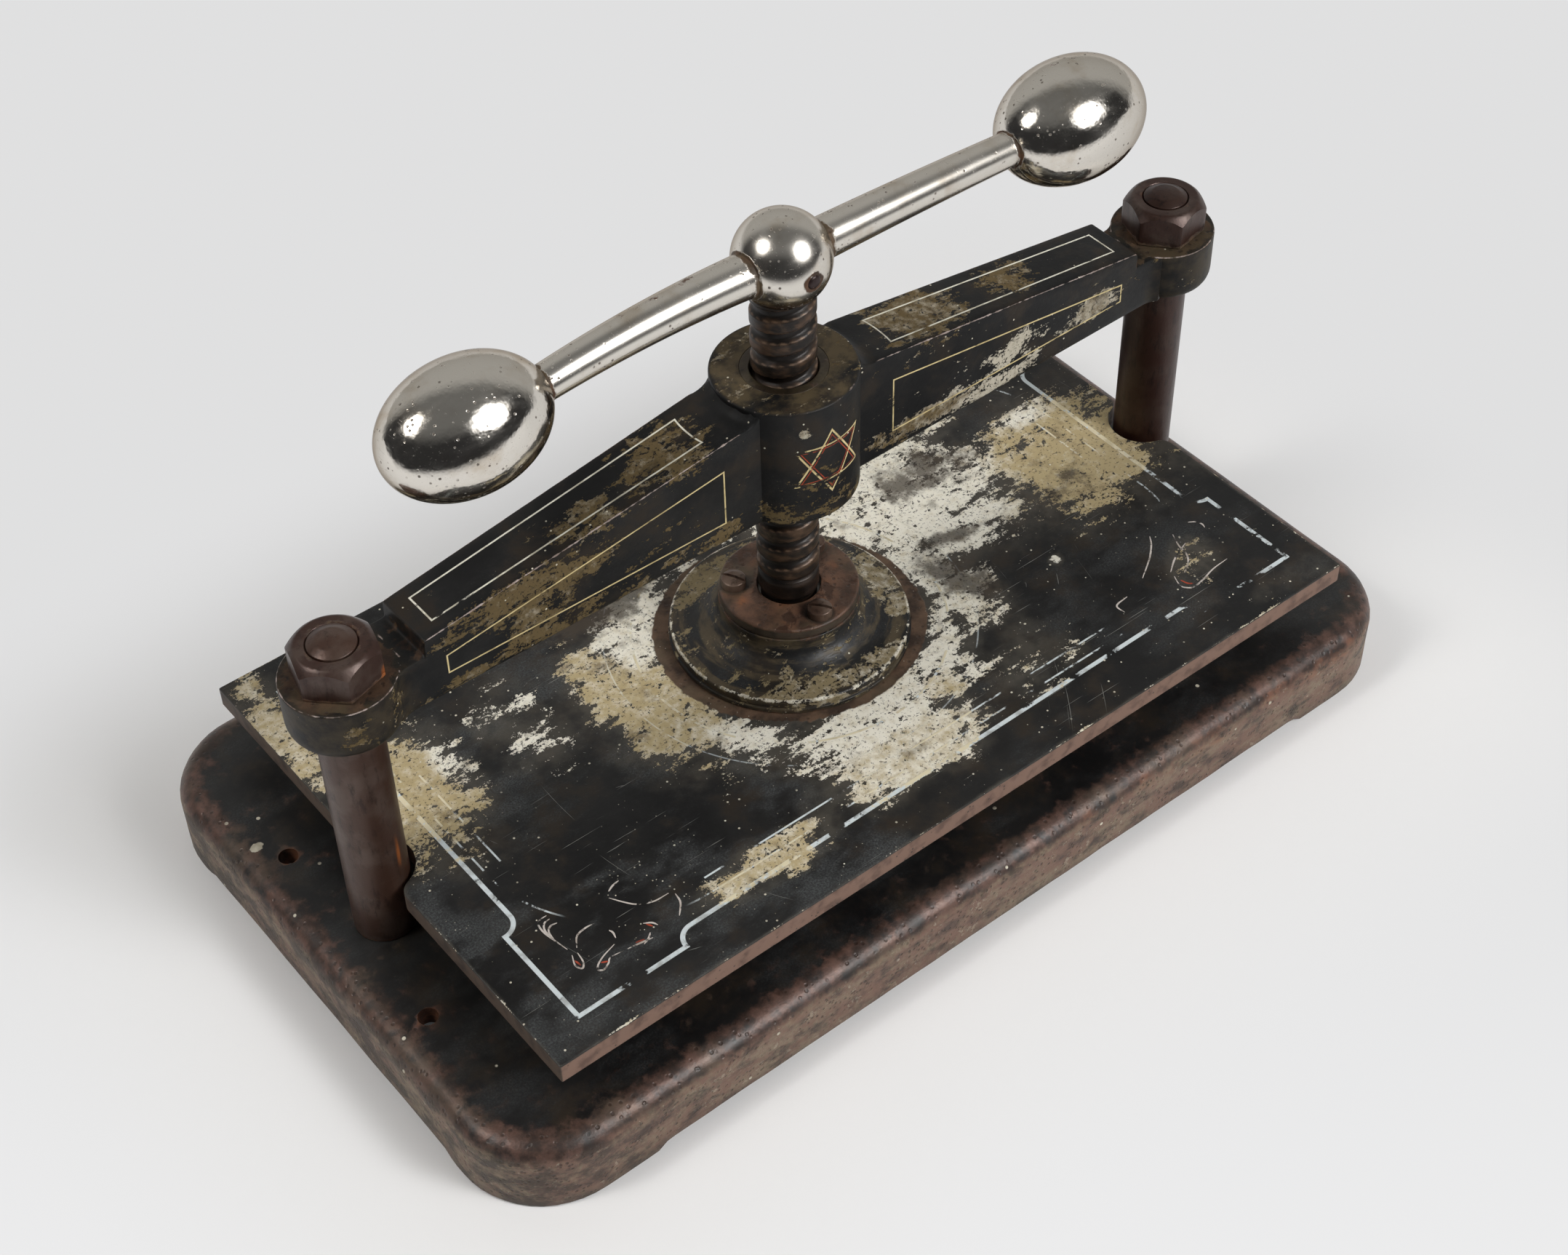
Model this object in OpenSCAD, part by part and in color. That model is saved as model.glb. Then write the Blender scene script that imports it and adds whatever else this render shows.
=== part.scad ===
// Copying press: a cast base and crossbeam on two turned columns, with a screw that drives the
// platen down on a letter book. Millimetres, +Z up, origin under the middle of the base.
// The press is drawn as it stands: screw part way up, handle in line with the crossbeam.

/* [Frame] */
// Distance between the two column axes
column_spacing = 400; // [340:1:480]
// Clear height of the columns between base and crossbeam
column_h = 112.8; // [104:0.2:160]
// Diameter of the columns
column_d = 25; // [22:0.2:28]
// Diameter of the threaded studs at both ends of a column
stud_d = 18; // [14:0.2:19]
// Width across flats of the column nuts
nut_af = 30; // [28:0.5:36]
// Height of the column nuts
nut_h = 15; // [10:0.5:20]
// Height of the thinner nuts under the base
base_nut_h = 11; // [8:0.5:12]
// Height of the domed stud end above its nut
stud_dome_h = 2.8; // [1:0.2:5]
// Turn of the left column nut
nut_turn_left = 15.5; // [0:0.5:60]
// Turn of the right column nut
nut_turn_right = 10.5; // [0:0.5:60]

/* [Base] */
// Reach of the base past each column axis
base_end = 32.5; // [30:0.5:60]
// Reach of the base past the platen, front and back
base_margin = 14.8; // [6:0.2:40]
// Height of the base
base_h = 33.5; // [31:0.5:50]
// Corner radius of the base in plan
base_corner_r = 38; // [20:1:50]
// Rounding of the base's top edge
base_edge_r = 9; // [3:0.5:11]
// Thickness of the base's top
base_top_t = 9; // [7:0.5:10]
// Thickness of the base's walls
base_wall = 8; // [5:0.5:9]
// Thickness of the pad under each column
base_pad_t = 5; // [2:0.5:7]
// Rise of the skirt between the corner feet
skirt_rise = 3; // [1:0.5:5]
// Run of each corner foot along the front and back
foot_run_x = 62; // [50:1:120]
// Run of each corner foot along the ends
foot_run_y = 44; // [42:1:80]
// Distance of the fixing holes outside the column axis
hole_out = 13.6; // [0:0.2:16]
// Distance between the two fixing holes at an end
hole_pitch = 100; // [60:1:140]
// Diameter of the fixing holes
hole_d = 8; // [5:0.5:10]

/* [Crossbeam] */
// Diameter of the eyes at the beam's ends
eye_d = 43; // [38:0.5:50]
// Height of the eyes
eye_h = 23.2; // [16:0.2:28]
// Rounding of an eye's lower edge
eye_edge_r = 6; // [1:0.5:6]
// Diameter of the hub
hub_d = 57; // [48:0.5:66]
// Height of the hub
hub_h = 55; // [50:0.5:70]
// Bevel of the hub's rim
hub_bevel = 1.2; // [0.5:0.1:2]
// Height of the arms where they reach the screw axis
arm_root_h = 54.2; // [46:0.2:70]
// Height of the arms where they step down to the eyes
arm_tip_h = 30.6; // [29:0.2:40]
// Width of the arms at the screw axis
arm_root_w = 31.5; // [28:0.5:40]
// Width of the arms at the eyes
arm_tip_w = 27; // [22:0.5:32]
// Distance of the step from the column axis
step_back = 28; // [24:0.5:50]
// Fillet between an arm and its eye
eye_fillet_r = 10; // [4:0.5:16]
// Reach of the fillet between an arm's top and the hub
hub_fillet = 7; // [3:0.5:9]
// Diameter of the threaded bush in the hub
bush_d = 34; // [32:0.5:40]

/* [Screw] */
// Diameter of the screw over its thread
screw_d = 25.2; // [24:0.2:26]
// Travel of the screw for one turn
thread_lead = 10.4; // [8:0.1:14]
// Depth of the rounded thread
thread_depth = 2.2; // [1:0.1:2.6]
// Play between the screw's thread and the bush's
thread_play = 0.6; // [0.5:0.05:0.8]
// Thread left standing above the hub
thread_above = 36.5; // [30:0.5:70]
// Diameter of the plain foot of the screw
screw_foot_d = 24.6; // [22:0.2:25]
// Height of the plain foot above the retaining disc
screw_foot_h = 10; // [4:0.5:14]
// Diameter of the pivot that carries the thrust collar
pivot_d = 16; // [12:0.5:18]
// Diameter of the spigot inside the ball
spigot_d = 17; // [12:0.5:18]

/* [Handle] */
// Diameter of the ball
ball_d = 37.6; // [36:0.2:44]
// Diameter of the cross pin through the ball
pin_d = 6.4; // [4:0.2:8]
// Diameter of an arm at the ball
handle_root_d = 17.4; // [14:0.2:18]
// Diameter of an arm at its weight
handle_tip_d = 13.6; // [10:0.2:14]
// Depth that an arm sits into the ball
handle_seat = 3; // [2:0.2:4]
// Distance from the screw axis to the middle of the left weight
weight_reach_left = 137.2; // [110:0.2:160]
// Distance from the screw axis to the middle of the right weight
weight_reach_right = 141.4; // [110:0.2:160]
// Length of a weight
weight_l = 66.4; // [50:0.2:80]
// Greatest diameter of a weight
weight_d = 48.8; // [40:0.2:60]
// Droop of the arms below level
handle_droop = 1.4; // [0:0.1:4]

/* [Platen] */
// Gap between base and platen as the press stands
platen_gap = 20.8; // [5:0.2:28]
// Width of the platen, front to back
platen_w = 238; // [200:1:280]
// Thickness of the platen
platen_t = 9.7; // [8:0.1:14]
// Setback of the platen's ends from the column axes
platen_setback = 0.7; // [0:0.1:6]
// Play between a column and its notch
notch_play = 2.2; // [1:0.1:4]
// Rounding of a notch's mouth
notch_mouth_r = 6; // [3:0.5:10]

/* [Boss] */
// Diameter of the boss at its rim
boss_d = 99.4; // [90:0.2:120]
// Height of the boss
boss_h = 20.1; // [19:0.1:24]
// Height of the boss's rim
boss_rim_h = 6.4; // [5:0.2:8]
// Height of the neck under the retaining disc
boss_neck_h = 2.6; // [1:0.2:4]
// Thickness of the boss's floor
boss_floor_t = 6; // [5.5:0.2:7]
// Diameter of the thrust collar
collar_d = 33; // [31:0.2:34]
// Thickness of the thrust pad
pad_t = 4; // [2:0.2:5]
// Diameter of the retaining disc
disc_d = 56.8; // [56:0.2:64]
// Thickness of the retaining disc
disc_t = 4.9; // [3:0.1:7]
// Radius of the ring of retaining screws
keeper_ring_r = 22.2; // [22:0.1:22.8]
// Angle of the first retaining screw
keeper_turn = 25; // [0:1:119]
// Number of retaining screws
keeper_count = 3; // [2:1:3]
// Thread diameter of the retaining screws
keeper_d = 5; // [4:0.2:5.4]
// Head diameter of the retaining screws
keeper_head_d = 10; // [8:0.2:11]
// Head height of the retaining screws
keeper_head_h = 4.6; // [3:0.2:6]
// Radius of the ring of boss screws
boss_ring_r = 37; // [35:0.5:40]
// Number of boss screws
boss_count = 4; // [3:1:4]
// Thread diameter of the boss screws
boss_screw_d = 6; // [4:0.5:7]

/* [Hidden] */
$fn = 64;

// Clearances: pieces that are fixed together, and pieces that run on each other
fit = 0.1;
run = 0.3;
// Cuts pass this far beyond the faces that they open
over = 1;
// Steps in a quarter arc of a drawn profile
arc_steps = 8;
// Sides and rows per turn of the modelled thread
thread_sides = 30;
thread_rows = 8;
// Power that flattens the thread's crests against its grooves
groove_power = 1.5;

// Heights above the floor
z_base = base_h;
z_platen = z_base + platen_gap;
z_boss = z_platen + platen_t;
z_disc = z_boss + boss_h;
z_disc_top = z_disc + disc_t;
z_foot_top = z_disc_top + screw_foot_h;
z_beam = z_base + column_h;
z_eye_top = z_beam + eye_h;
z_hub_top = z_beam + hub_h;

// Frame
column_x = column_spacing / 2;
stud_end = 1.5;
z_base_nut = base_h - base_top_t - base_pad_t - base_nut_h;
z_stud_low = z_base_nut - stud_end;
z_nut_top = z_eye_top + nut_h;
nut_chamfer_drop = 2.4;
stud_bore_d = stud_d + 2 * fit;
nut_corner_d = nut_af / cos(30);

// Base
base_l = column_spacing + 2 * base_end;
base_w = platen_w + 2 * base_margin;
hollow_l = base_l - 2 * base_wall;
hollow_w = base_w - 2 * base_wall;
pad_margin = 3;
pad_r = nut_corner_d / 2 + pad_margin;
foot_slope = 5;
hole_x = column_x + hole_out;

// Crossbeam
step_x = column_x - step_back;
eye_r = eye_d / 2;
hub_r = hub_d / 2;
arm_tip_hw = arm_tip_w / 2;
fillet_dx = sqrt(pow(eye_r + eye_fillet_r, 2) - pow(arm_tip_hw + eye_fillet_r, 2));
fillet_x = column_x - fillet_dx;
fillet_y = arm_tip_hw + eye_fillet_r;
fillet_end_angle = atan2(fillet_y, -fillet_dx) - 180;

// Screw and handle
screw_r = screw_d / 2;
ball_r = ball_d / 2;
ball_flat_margin = 0.6;
ball_flat_r = screw_r + ball_flat_margin;
ball_seat_h = sqrt(pow(ball_r, 2) - pow(ball_flat_r, 2));
z_seat = z_hub_top + thread_above;
z_ball = z_seat + ball_seat_h;
spigot_past = 9.4;
spigot_h = ball_seat_h + spigot_past;
pin_out = 0.8;
pin_dome_h = 1.6;
pin_hole_sides = 12;
pin_hole_d = (pin_d + 2 * fit) / cos(180 / pin_hole_sides);
handle_root_x = sqrt(pow(ball_r, 2) - pow(handle_root_d / 2, 2)) - handle_seat;
tenon_d = 8;
tenon_wall = 1.2;
tenon_l = handle_root_x - spigot_d / 2 - tenon_wall;
weight_hole_l = 12;
weight_a = weight_l / 2;
weight_b = weight_d / 2;
weight_seat_in = 1.5;
weight_seat_back = weight_a * sqrt(1 - pow(handle_tip_d / weight_d, 2)) - weight_seat_in;

// Platen and boss
platen_l = column_spacing - 2 * platen_setback;
notch_r = column_d / 2 + notch_play;
mouth_y = sqrt(pow(notch_r + notch_mouth_r, 2) - pow(platen_setback + notch_mouth_r, 2));
mouth_angle = atan2(mouth_y, -(platen_setback + notch_mouth_r));
boss_r = boss_d / 2;
boss_round = 1.6;
neck_margin = 0.4;
neck_r = disc_d / 2 + neck_margin;
cavity_r = collar_d / 2 + run + fit;
z_cavity = z_boss + boss_floor_t;
z_pad_top = z_cavity + pad_t;
z_pivot = z_pad_top + run;
pivot_out = 1.5;
disc_bore_r = screw_foot_d / 2 + 2 * run;
disc_edge = 1;
keeper_hole_l = 9;
keeper_slot_w = 1.4;
keeper_slot_h = 1.8;
keeper_slot_turn = -40;
boss_hole_l = 5;
boss_head_r = boss_screw_d;
boss_turn = 45;
boss_slot_w = 1.5;
boss_slot_h = 1.2;

// Colours
iron_black = [0.09, 0.08, 0.07];
rust_brown = [0.24, 0.15, 0.13];
oily_steel = [0.17, 0.12, 0.10];
nickel = [0.80, 0.77, 0.72];
plain_steel = [0.45, 0.42, 0.40];

// Points along an arc, from one angle to another
function arc(cx, cy, r, a0, a1) = [
  for (i = [0 : arc_steps])
    let (a = a0 + (a1 - a0) * i / arc_steps)
      [cx + r * cos(a), cy + r * sin(a)]
];

// Outline of a rounded rectangle
function round_rect(l, w, r) = concat(
  arc(l / 2 - r, w / 2 - r, r, 0, 90),
  arc(r - l / 2, w / 2 - r, r, 90, 180),
  arc(r - l / 2, r - w / 2, r, 180, 270),
  arc(l / 2 - r, r - w / 2, r, 270, 360)
);

// Depth of the rounded thread at a turn fraction: 1 in the groove, 0 on the crest
function groove(u) = pow((1 + cos(360 * u)) / 2, groove_power);

// Radius of the right-hand thread at an angle and a height, measured from the screw's seat
function thread_r(angle, z) =
  screw_r - thread_depth * groove((z - z_seat) / thread_lead - angle / 360);

// Ring of points at one height: plain where the row has no thread
function thread_ring(z, r, threaded, grow) = [
  for (i = [0 : thread_sides - 1])
    let (a = 360 * i / thread_sides, q = threaded ? thread_r(a, z) + grow : r)
      [q * cos(a), q * sin(a), z]
];

// Triangles between two rings of n points that start at p and q, facing outwards
function band(p, q, n) = [
  for (i = [0 : n - 1])
    let (j = (i + 1) % n)
      each [[p + i, q + i, q + j], [p + i, q + j, p + j]]
];

// Triangles that close a ring around the middle point m
function cap(p, m, n, up) = [
  for (i = [0 : n - 1])
    let (j = (i + 1) % n)
      up ? [m, p + j, p + i] : [m, p + i, p + j]
];

module lathe(points) {
  rotate_extrude() polygon(points);
}

// Piece drawn along +X as a turned profile of [distance, radius] points
module turned_along_x(points) {
  rotate([0, 90, 0]) lathe([for (p = points) [p[1], p[0]]]);
}

// Placement on one handle arm, which droops from the ball
module on_arm(side) {
  mirror([side < 0 ? 1 : 0, 0, 0])
    translate([0, 0, z_ball])
      rotate([0, handle_droop, 0]) children();
}

// Distance from the screw axis to the middle of a weight, and to the seat of its arm
function weight_reach(side) = side < 0 ? weight_reach_left : weight_reach_right;
function weight_seat(side) = weight_reach(side) - weight_seat_back;

// Profile of the base's edge, from a wall's middle outwards
function base_edge(r) = concat(
  [[0, 0], [r, 0]],
  arc(r - base_edge_r, base_h - base_edge_r, base_edge_r, 0, 90),
  [[0, base_h]]
);

module base_block() {
  span_x = base_l - 2 * base_corner_r;
  span_y = base_w - 2 * base_corner_r;
  for (sx = [0, 1], sy = [0, 1])
    mirror([sx, 0, 0]) mirror([0, sy, 0])
      translate([span_x / 2, span_y / 2, 0])
        rotate_extrude(angle = 90) polygon(base_edge(base_corner_r));
  for (side = [0, 1]) {
    mirror([side, 0, 0])
      translate([span_x / 2, span_y / 2, 0])
        rotate([90, 0, 0]) linear_extrude(span_y) polygon(base_edge(base_corner_r));
    mirror([0, side, 0])
      translate([-span_x / 2, 0, 0])
        rotate([90, 0, 90]) linear_extrude(span_x) polygon(base_edge(base_w / 2));
  }
}

// Trapezium that lifts the skirt between two corner feet
module skirt_cut(run_l, depth) {
  rotate([90, 0, 0])
    linear_extrude(depth, center = true)
      polygon([
        [-run_l / 2, -over], [run_l / 2, -over], [run_l / 2, 0],
        [run_l / 2 - foot_slope, skirt_rise], [foot_slope - run_l / 2, skirt_rise], [-run_l / 2, 0]
      ]);
}

module base() {
  color(iron_black)
    difference() {
      union() {
        difference() {
          base_block();
          translate([0, 0, -over])
            linear_extrude(base_h - base_top_t + over)
              polygon(round_rect(hollow_l, hollow_w, base_corner_r - base_wall));
        }
        for (side = [-1, 1])
          translate([side * column_x, 0, base_h - base_top_t - base_pad_t])
            cylinder(r = pad_r, h = base_pad_t + over);
      }
      for (side = [-1, 1]) {
        translate([side * column_x, 0, -over]) cylinder(d = stud_bore_d, h = base_h + 2 * over);
        for (row = [-1, 1])
          translate([side * hole_x, row * hole_pitch / 2, -over]) cylinder(d = hole_d, h = base_h + 2 * over);
      }
      skirt_cut(base_l - 2 * foot_run_x, base_w + 2 * over);
      rotate([0, 0, 90]) skirt_cut(base_w - 2 * foot_run_y, base_l + 2 * over);
    }
}

module column(side) {
  r = column_d / 2;
  s = stud_d / 2;
  dome_r = (s * s + stud_dome_h * stud_dome_h) / (2 * stud_dome_h);
  half = asin(s / dome_r);
  color(rust_brown)
    translate([side * column_x, 0, 0])
      lathe(concat(
        [[0, z_stud_low], [s, z_stud_low], [s, z_base], [r, z_base], [r, z_beam], [s, z_beam]],
        arc(0, z_nut_top + stud_dome_h - dome_r, dome_r, 90 - half, 90)
      ));
}

// Hexagon nut with a turned chamfer on its upper face
module hex_nut(height) {
  flat_r = nut_af / 2;
  corner_r = nut_corner_d / 2;
  difference() {
    intersection() {
      cylinder(d = nut_corner_d, h = height, $fn = 6);
      lathe([
        [0, -over], [corner_r + over, -over], [corner_r + over, height - nut_chamfer_drop],
        [flat_r - over, height], [0, height]
      ]);
    }
    translate([0, 0, -over]) cylinder(d = stud_bore_d, h = height + 2 * over);
  }
}

module column_nut(side) {
  color(rust_brown)
    translate([side * column_x, 0, z_eye_top])
      rotate([0, 0, side < 0 ? nut_turn_left : nut_turn_right]) hex_nut(nut_h);
}

module base_nut(side) {
  color(rust_brown)
    translate([side * column_x, 0, z_base_nut + base_nut_h])
      mirror([0, 0, 1]) hex_nut(base_nut_h);
}

// One side of the beam's plan, from the screw axis to the eye
function arm_side() = concat(
  [[0, arm_root_w / 2]],
  arc(fillet_x, fillet_y, eye_fillet_r, -90, fillet_end_angle)
);

module arm_plan() {
  near = arm_side();
  n = len(near);
  far = [for (i = [n - 1 : -1 : 0]) [near[i][0], -near[i][1]]];
  for (side = [0, 1])
    mirror([side, 0, 0]) polygon(concat(near, [[column_x, 0]], far));
}

module arm_block() {
  intersection() {
    translate([0, 0, z_beam]) linear_extrude(hub_h) arm_plan();
    rotate([90, 0, 0])
      linear_extrude(2 * eye_d, center = true)
        polygon([
          [-column_x, z_beam], [column_x, z_beam], [column_x, z_eye_top], [step_x, z_eye_top],
          [step_x, z_beam + arm_tip_h], [0, z_beam + arm_root_h], [-step_x, z_beam + arm_tip_h],
          [-step_x, z_eye_top], [-column_x, z_eye_top]
        ]);
  }
}

// Hollow fillet that carries an arm's top up to the hub
module hub_fillet_ring() {
  slope = (arm_root_h - arm_tip_h) / step_x;
  z_toe = z_beam + arm_root_h - slope * (hub_r + hub_fillet);
  rise = z_hub_top - hub_bevel - z_toe;
  intersection() {
    lathe(concat(
      [[hub_r - over, z_beam + eye_h], [hub_r + hub_fillet, z_beam + eye_h]],
      [for (i = [0 : arc_steps]) let (a = 90 * i / arc_steps)
        [hub_r + hub_fillet * (1 - sin(a)), z_toe + rise * (1 - cos(a))]],
      [[hub_r - over, z_hub_top - hub_bevel]]
    ));
    translate([0, 0, z_beam]) linear_extrude(hub_h) arm_plan();
  }
}

module crossbeam() {
  color(iron_black)
    difference() {
      union() {
        arm_block();
        hub_fillet_ring();
        translate([0, 0, z_beam])
          lathe([
            [0, 0], [hub_r - hub_bevel, 0], [hub_r, hub_bevel], [hub_r, hub_h - hub_bevel],
            [hub_r - hub_bevel, hub_h], [0, hub_h]
          ]);
        for (side = [-1, 1])
          translate([side * column_x, 0, z_beam])
            lathe(concat(
              [[0, 0]],
              arc(eye_r - eye_edge_r, eye_edge_r, eye_edge_r, -90, 0),
              [[eye_r, eye_h], [0, eye_h]]
            ));
      }
      for (side = [-1, 1])
        translate([side * column_x, 0, z_beam - over]) cylinder(d = stud_bore_d, h = eye_h + 2 * over);
      translate([0, 0, z_beam - over]) cylinder(d = bush_d, h = hub_h + 2 * over);
    }
}

// Solid skin from rows of [height, radius, threaded]: the rows run upwards
module threaded_bar(rows) {
  n = thread_sides;
  last = len(rows) - 1;
  points = concat(
    [for (row = rows) each thread_ring(row[0], row[1], row[2], 0)],
    [[0, 0, rows[0][0]], [0, 0, rows[last][0]]]
  );
  low = n * (last + 1);
  polyhedron(points, concat(
    [for (k = [0 : last - 1]) each band(k * n, (k + 1) * n, n)],
    cap(0, low, n, false),
    cap(last * n, low + 1, n, true)
  ));
}

// Even rows between two heights, about thread_rows to a turn
function thread_heights(z0, z1) =
  let (n = ceil((z1 - z0) * thread_rows / thread_lead)) [for (i = [0 : n]) z0 + (z1 - z0) * i / n];

module spindle() {
  foot_r = screw_foot_d / 2;
  color(oily_steel)
    difference() {
      threaded_bar(concat(
        [[z_pivot, pivot_d / 2, false], [z_disc - run, pivot_d / 2, false]],
        [[z_disc - run, foot_r, false], [z_foot_top, foot_r, false]],
        [for (z = thread_heights(z_foot_top + fit, z_seat)) [z, screw_r, true]],
        [[z_seat, spigot_d / 2, false], [z_seat + spigot_h - fit, spigot_d / 2, false]]
      ));
      translate([0, 0, z_ball])
        rotate([90, 0, 0])
          cylinder(d = pin_hole_d, h = 2 * spigot_d, center = true, $fn = pin_hole_sides);
    }
}

// Bush with a plain outside, pressed in the hub, and the screw's thread inside
module screw_bush() {
  n = thread_sides;
  heights = thread_heights(z_beam, z_hub_top);
  last = len(heights) - 1;
  inner = [for (z = heights) each thread_ring(z, 0, true, thread_play)];
  outer = [for (z = [z_beam, z_hub_top]) each thread_ring(z, bush_d / 2, false, 0)];
  out0 = n * (last + 1);
  out1 = out0 + n;
  color(oily_steel)
    polyhedron(concat(inner, outer), concat(
      [for (k = [0 : last - 1]) each band((k + 1) * n, k * n, n)],
      band(out0, out1, n),
      band(out1, last * n, n),
      band(0, out0, n)
    ));
}

// One quarter of the platen's edge, from its notch to the middle of a long side
function platen_quarter() = concat(
  arc(column_x, 0, notch_r, 180, mouth_angle),
  arc(platen_l / 2 - notch_mouth_r, mouth_y, notch_mouth_r, mouth_angle - 180, 0),
  [[platen_l / 2, platen_w / 2]]
);

module platen() {
  quarter = platen_quarter();
  n = len(quarter);
  upper = concat(quarter, [for (i = [n - 1 : -1 : 0]) [-quarter[i][0], quarter[i][1]]]);
  m = len(upper);
  color(iron_black)
    difference() {
      translate([0, 0, z_platen])
        linear_extrude(platen_t)
          polygon(concat(upper, [for (i = [m - 2 : -1 : 1]) [upper[i][0], -upper[i][1]]]));
      for (i = [1 : boss_count])
        on_ring(i, boss_count, boss_ring_r, boss_turn, z_platen) {
          translate([0, 0, -over]) cylinder(d = boss_screw_d + 2 * fit, h = platen_t + 2 * over);
          boss_screw_head(fit, over);
        }
    }
}

// Placement of the i-th of n screws on a ring
module on_ring(i, n, r, turn, z) {
  rotate([0, 0, turn + 360 * (i - 1) / n]) translate([r, 0, z]) children();
}

// Countersunk head that opens downwards, grown by a clearance and carried below its face
module boss_screw_head(grow, below) {
  head_h = boss_head_r - boss_screw_d / 2;
  translate([0, 0, -below]) cylinder(r = boss_head_r + grow, h = below + fit);
  cylinder(r1 = boss_head_r + grow, r2 = boss_screw_d / 2 + grow, h = head_h);
}

module boss_screw(i) {
  color(plain_steel)
    on_ring(i, boss_count, boss_ring_r, boss_turn, z_platen)
      difference() {
        union() {
          boss_screw_head(0, 0);
          cylinder(d = boss_screw_d, h = platen_t + boss_hole_l - fit);
        }
        translate([-boss_head_r, -boss_slot_w / 2, -over])
          cube([2 * boss_head_r, boss_slot_w, over + boss_slot_h]);
      }
}

module platen_boss() {
  flare_w = boss_r - boss_round - neck_r;
  flare_h = boss_h - boss_neck_h - boss_rim_h;
  color(iron_black)
    translate([0, 0, z_boss])
      difference() {
        lathe(concat(
          [[0, 0], [boss_r, 0]],
          arc(boss_r - boss_round, boss_rim_h - boss_round, boss_round, 0, 90),
          [for (i = [1 : arc_steps]) let (a = 90 * i / arc_steps)
            [neck_r + flare_w * (1 - sin(a)), boss_rim_h + flare_h * (1 - cos(a))]],
          [[neck_r, boss_h], [cavity_r, boss_h], [cavity_r, boss_floor_t], [0, boss_floor_t]]
        ));
        for (i = [1 : boss_count])
          on_ring(i, boss_count, boss_ring_r, boss_turn, -over)
            cylinder(d = boss_screw_d + 2 * fit, h = boss_hole_l + over);
        for (i = [1 : keeper_count])
          on_ring(i, keeper_count, keeper_ring_r, keeper_turn, boss_h - keeper_hole_l)
            cylinder(d = keeper_d + 2 * fit, h = keeper_hole_l + over);
      }
}

module thrust_pad() {
  color(plain_steel)
    translate([0, 0, z_cavity]) cylinder(r = cavity_r - fit, h = pad_t);
}

module retaining_disc() {
  r = disc_d / 2;
  color(rust_brown)
    translate([0, 0, z_disc])
      difference() {
        lathe([
          [disc_bore_r, 0], [r - disc_edge, 0], [r, disc_edge],
          [r, disc_t - disc_edge], [r - disc_edge, disc_t], [disc_bore_r, disc_t]
        ]);
        for (i = [1 : keeper_count])
          on_ring(i, keeper_count, keeper_ring_r, keeper_turn, -over)
            cylinder(d = keeper_d + 2 * fit, h = disc_t + 2 * over);
      }
}

module retaining_screw(i) {
  shank_l = disc_t + keeper_hole_l - fit;
  color(rust_brown)
    on_ring(i, keeper_count, keeper_ring_r, keeper_turn, z_disc_top)
      difference() {
        union() {
          cylinder(d = keeper_head_d, h = keeper_head_h);
          translate([0, 0, -shank_l]) cylinder(d = keeper_d, h = shank_l + fit);
        }
        rotate([0, 0, keeper_slot_turn - keeper_turn - 360 * (i - 1) / keeper_count])
          translate([-keeper_head_d, -keeper_slot_w / 2, keeper_head_h - keeper_slot_h])
            cube([2 * keeper_head_d, keeper_slot_w, keeper_slot_h + over]);
      }
}

module thrust_collar() {
  z_low = z_pivot + pivot_out;
  color(plain_steel)
    difference() {
      translate([0, 0, z_low]) cylinder(d = collar_d, h = z_disc - run - z_low);
      translate([0, 0, z_low - over]) cylinder(d = pivot_d + 2 * fit, h = z_disc - z_low + 2 * over);
    }
}

module handle_ball() {
  color(nickel)
    difference() {
      translate([0, 0, z_ball]) sphere(d = ball_d);
      translate([-ball_d, -ball_d, z_seat - 2 * ball_d]) cube(2 * ball_d);
      translate([0, 0, z_seat - over]) cylinder(d = spigot_d + 2 * fit, h = spigot_h + over);
      translate([0, 0, z_ball])
        rotate([90, 0, 0]) cylinder(d = pin_d + 2 * fit, h = 2 * ball_d, center = true);
      for (side = [-1, 1])
        on_arm(side)
          turned_along_x([
            [handle_root_x - tenon_l - fit, 0], [handle_root_x - tenon_l - fit, tenon_d / 2 + fit],
            [handle_root_x, tenon_d / 2 + fit], [handle_root_x, handle_root_d / 2 + fit],
            [ball_d, handle_root_d / 2 + fit], [ball_d, 0]
          ]);
    }
}

// Cross pin with domed ends that stand a little out of the ball
module ball_pin() {
  reach = ball_r + pin_out;
  dome = [
    for (i = [0 : arc_steps])
      let (a = 90 * i / arc_steps)
        [pin_d / 2 * cos(a), reach - pin_dome_h * (1 - sin(a))]
  ];
  color(rust_brown)
    translate([0, 0, z_ball])
      rotate([90, 0, 0])
        lathe(concat(dome, [for (i = [arc_steps : -1 : 0]) [dome[i][0], -dome[i][1]]]));
}

module handle_arm(side) {
  root_x = handle_root_x;
  seat_x = weight_seat(side);
  color(nickel)
    on_arm(side)
      turned_along_x([
        [root_x - tenon_l, 0], [root_x - tenon_l, tenon_d / 2], [root_x, tenon_d / 2],
        [root_x, handle_root_d / 2], [seat_x, handle_tip_d / 2], [seat_x, tenon_d / 2],
        [seat_x + weight_hole_l, tenon_d / 2], [seat_x + weight_hole_l, 0]
      ]);
}

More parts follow.
